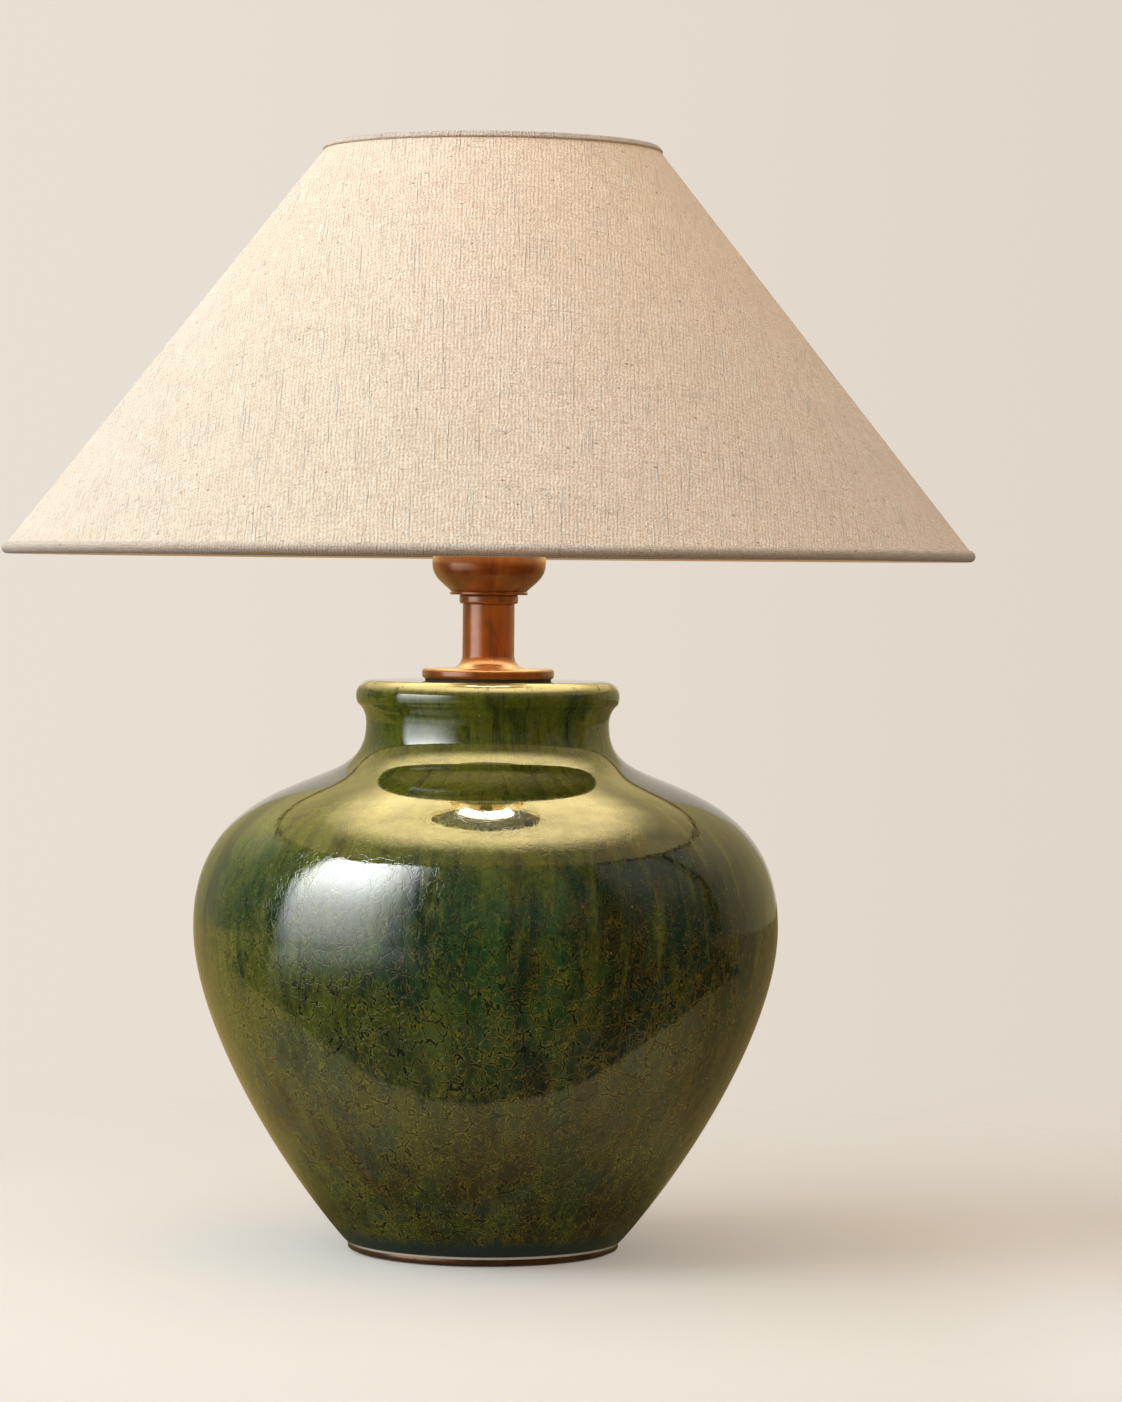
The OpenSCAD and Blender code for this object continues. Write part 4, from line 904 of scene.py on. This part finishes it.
# The cover: natural slub linen, cut as one flat sector, laminated to the liner and lapped in
# a glued seam down the back. Its threads run straight in the flat cloth.
def woven(name, thread, glow=0.0, shade=1.0, shadow_line=None, under=None, inside=None):
    """Plain-woven linen on its flat cloth coordinates, in metres.

    A glow paints warm light into the cloth, as if the bulb shone through. A strip has a painted
    shadow line at a distance across it, or a band of painted shade under its roll and a band of
    painted light inside, each between two distances.
    """
    wander = 5.0
    soft_edge = 0.001
    finish, tree, shader = paint(name)
    cloth = put(tree, "TexCoord").outputs["UV"]
    length, width, _ = split(tree, cloth)
    across = times(tree, length, math.pi / thread)
    along = times(tree, width, math.pi / thread)
    across = calc(tree, "ADD", across, times(tree, noise(tree, cloth, 150, 3), wander))
    along = calc(tree, "ADD", along, times(tree, noise(tree, cloth, 170, 3), wander))
    over = times(tree, calc(tree, "SINE", across), calc(tree, "SINE", along))
    over = times(tree, over, over)
    pebble = noise(tree, cloth, 760, 3, 0.65)
    warp = noise(tree, place(tree, cloth, (1, 0.10, 1)), 900, 2, 0.6)
    weft = noise(tree, place(tree, cloth, (0.12, 1, 1), (3, 1, 0)), 900, 2, 0.6)
    thick_warp = noise(tree, place(tree, cloth, (1, 0.05, 1), (5, 2, 0)), 560, 2, 0.5)
    thick_weft = noise(tree, place(tree, cloth, (0.09, 1, 1), (1, 7, 0)), 520, 2, 0.5)
    slubs = calc(tree, "MAXIMUM", spread(tree, thick_warp, 0.60, 0.70), spread(tree, thick_weft, 0.64, 0.76))
    thin_warp = spread(tree, thick_warp, 0.30, 0.39, 1, 0)
    fibre = times(tree, calc(tree, "ADD", warp, weft), 0.5)
    mixed = calc(tree, "ADD", times(tree, fibre, 0.5), times(tree, pebble, 0.5))
    shades = noise(tree, cloth, 22, 3, 0.6)
    low, high, dull, slub = [tuple(shade * c for c in colour) for colour in (
        (0.80, 0.600, 0.430), (1.0, 0.835, 0.660), (0.66, 0.47, 0.32), (1.0, 0.93, 0.80))]
    colour = tint(tree, spread(tree, mixed, 0.40, 0.58), low, high)
    colour = tint(tree, times(tree, thin_warp, 0.25), colour, dull)
    colour = tint(tree, times(tree, slubs, 0.5), colour, slub)
    colour = tint(tree, spread(tree, over, 0.0, 0.5, 0.10, 0), colour, (0.42, 0.29, 0.19))
    colour = tint(tree, spread(tree, shades, 0.35, 0.7, 0, 0.12), colour, dull)
    nep = put(tree, "TexVoronoi", {"Vector": place(tree, cloth, (0.6, 1, 1)), "Scale": 250,
                                   "Randomness": 1.0}).outputs["Distance"]
    some = noise(tree, cloth, 150, 1)
    fleck = times(tree, spread(tree, nep, 0.07, 0.17, 1, 0), spread(tree, some, 0.49, 0.55))
    colour = tint(tree, times(tree, fleck, 0.7), colour, (0.24, 0.13, 0.07))
    # Painted shadow: a dark line across the strip, where its edge meets the cover.
    if shadow_line:
        off = calc(tree, "ABSOLUTE", calc(tree, "SUBTRACT", width, shadow_line))
        colour = tint(tree, spread(tree, off, 0.0003, 0.0008, 0.65, 0), colour, (0.22, 0.11, 0.05))
    # Painted shade: a band under the roll is darkened as if in the roll's own shadow.
    if under:
        colour = tint(tree, spread(tree, width, *under, 0.9, 0), colour, (0.15, 0.080, 0.038))
    feed(tree, shader.inputs["Base Color"], colour)
    shader.inputs["Roughness"].default_value = 0.9
    shader.inputs["Specular IOR Level"].default_value = 0.2
    shader.inputs["Sheen Weight"].default_value = 0.35
    shader.inputs["Sheen Roughness"].default_value = 0.45
    # Painted light: the cloth glows warm, stronger towards the top, as if the bulb shone through it.
    if glow:
        height = split(tree, position(tree))[2]
        feed(tree, shader.inputs["Emission Color"], tint(tree, 1.0, colour, (1.0, 0.68, 0.36), "MULTIPLY"))
        feed(tree, shader.inputs["Emission Strength"], spread(tree, height, 0.34, 0.53, 0.35 * glow, glow))
    # Painted light: a band inside the roll glows warm, as if lit by the bulb.
    if inside:
        lit = calc(tree, "MAXIMUM", spread(tree, width, inside[0], inside[0] + soft_edge, 1, 0),
                   spread(tree, width, inside[1], inside[1] + soft_edge))
        shader.inputs["Emission Color"].default_value = (1.0, 0.58, 0.23, 1)
        feed(tree, shader.inputs["Emission Strength"], times(tree, lit, 0.36))
    weave = calc(tree, "ADD", times(tree, over, 0.45), times(tree, pebble, 1.1))
    weave = calc(tree, "ADD", weave, times(tree, slubs, 0.6))
    weave = calc(tree, "ADD", weave, times(tree, fibre, 0.5))
    relief(tree, shader, weave, 0.0011)
    return finish


slant = 239.57
flat_radius = 363.8
lap = 0.045
lap_eases = 0.012
cloth_thick = 0.7


def wrapped(v):
    """Where a point of the square grid comes on the cone: its turn, and its way up the slant."""
    return (v.x + 0.5) * (2 * math.pi + lap) - math.pi, slant * (v.y + 0.5)


linen = woven("linen", 0.0017, glow=0.17)
bpy.ops.object.select_all(action="DESELECT")
bpy.ops.mesh.primitive_grid_add(x_subdivisions=300, y_subdivisions=40, size=1)
cover = bpy.context.active_object
cover.name = cover.data.name = "linen_cover"
cut_flat = cover.data.uv_layers.active.data
for loop in cover.data.loops:
    turn, up = wrapped(cover.data.vertices[loop.vertex_index].co)
    reach = (flat_radius - up) / 1000
    cut_flat[loop.index].uv = (reach * math.sin(lean * turn), -reach * math.cos(lean * turn))
for v in cover.data.vertices:
    turn, up = wrapped(v.co)
    lapped = max(0.0, min(1.0, (turn - math.pi + lap_eases) / lap_eases))
    r, z = on_cone(up, cloth_thick * lapped)
    v.co = (r * math.sin(turn) / 1000, -r * math.cos(turn) / 1000, z / 1000)
wall = cover.modifiers.new("thickness", "SOLIDIFY")
wall.thickness = cloth_thick / 1000
wall.offset = -1
bpy.ops.object.modifier_apply(modifier="thickness")
bpy.ops.object.shade_smooth_by_angle(angle=math.radians(40))
settle(cover, "shade", "linen", linen, "shade_cover")


# The edges: strips of the same linen, folded round the rings and glued inside, a thin one
# round the top and a fuller rolled one round the bottom.
def lay_weave(piece, ring_r, ring_z):
    """Flat cloth coordinates for a strip: along the ring, and round its section."""
    section_r = 0.004
    while piece.data.uv_layers:
        piece.data.uv_layers.remove(piece.data.uv_layers[0])
    layer = piece.data.uv_layers.new(name="cloth")
    for face in piece.data.polygons:
        middle = math.atan2(face.center.x, -face.center.y)
        for index in face.loop_indices:
            v = piece.data.vertices[piece.data.loops[index].vertex_index].co
            turn = math.atan2(v.x, -v.y)
            turn += 2 * math.pi * round((middle - turn) / (2 * math.pi))
            round_it = math.atan2(v.z - ring_z, v.xy.length - ring_r)
            layer.data[index].uv = (turn * ring_r, round_it * section_r)


# The top strip has a painted shadow line where it meets the cover; the bottom one has painted shade under
# its roll and painted light inside it.
band = woven("edge_linen", 0.0014, shade=0.84, shadow_line=0.0013)
hem_band = woven("hem_linen", 0.0014, shade=0.92, under=(-0.0034, 0.0034), inside=(-0.0068, 0.0080))
strip_top = 239.585
strip = [on_cone(strip_top - down, out) for down, out in [
    (3.0, 0.05), (3.0, 0.75), (2.7, 1.0), (0.6, 1.0), (-0.2, 0.8), (-0.8, 0.3), (-1.0, -0.4),
    (-1.0, -5.2), (-0.7, -5.8), (0.0, -6.0), (3.0, -6.0), (3.0, -5.45), (0.0, -5.4), (-0.05, 0.05)]]
trim = turned("top_edge", strip, cuts=200, angle=50)
trim_waves = 0.00008
for v in trim.data.vertices:
    v.co.z += trim_waves * waver(v, 23, 61, 2)
lay_weave(trim, 0.0753, 0.5125)
settle(trim, "shade", "linen", band, "top_trim")

roll = [on_cone(1.7, 0.03), on_cone(1.7, 0.4), on_cone(1.35, 0.75)]
roll += arc((224.4, 326.95), 2.55, 2.6, 60, -90, 14) + [(222.6, 324.25), (221.2, 324.35)]
roll += [on_cone(0.35, -6.05), on_cone(5, -6), on_cone(5, -5.45), on_cone(0, -5.4), on_cone(-0.1, -5)]
roll += [on_cone(-0.1, 0.03)]
hem = turned("bottom_edge", roll, cuts=300, angle=50)
hem_waves = 0.0004
for v in hem.data.vertices:
    v.co.xy *= 1 + hem_waves * waver(v, 31, 83, 1)
lay_weave(hem, 0.2232, 0.3272)
settle(hem, "shade", "linen", hem_band, "bottom_hem")


# The finial: a small turned knob on a brass insert, which screws down on the stud and holds
# the shade.
dress(brass, "finial_insert")
knob = turned("finial", [(4.7, 509.3), (6.7, 509.3), (6.7, 510.5), (5.7, 511.7)]
              + bow((5.7, 511.7), (6.3, 512.7), (8.5, 514.3), (8.5, 517.3), 14)
              + arc((0, 517.3), 8.5, 5.8, 0, 90, 18) + [(0, 517.9), (4.7, 517.9)], cuts=96)
settle(knob, "finial", "turned_wood", warm, "finial_knob")


low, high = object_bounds()
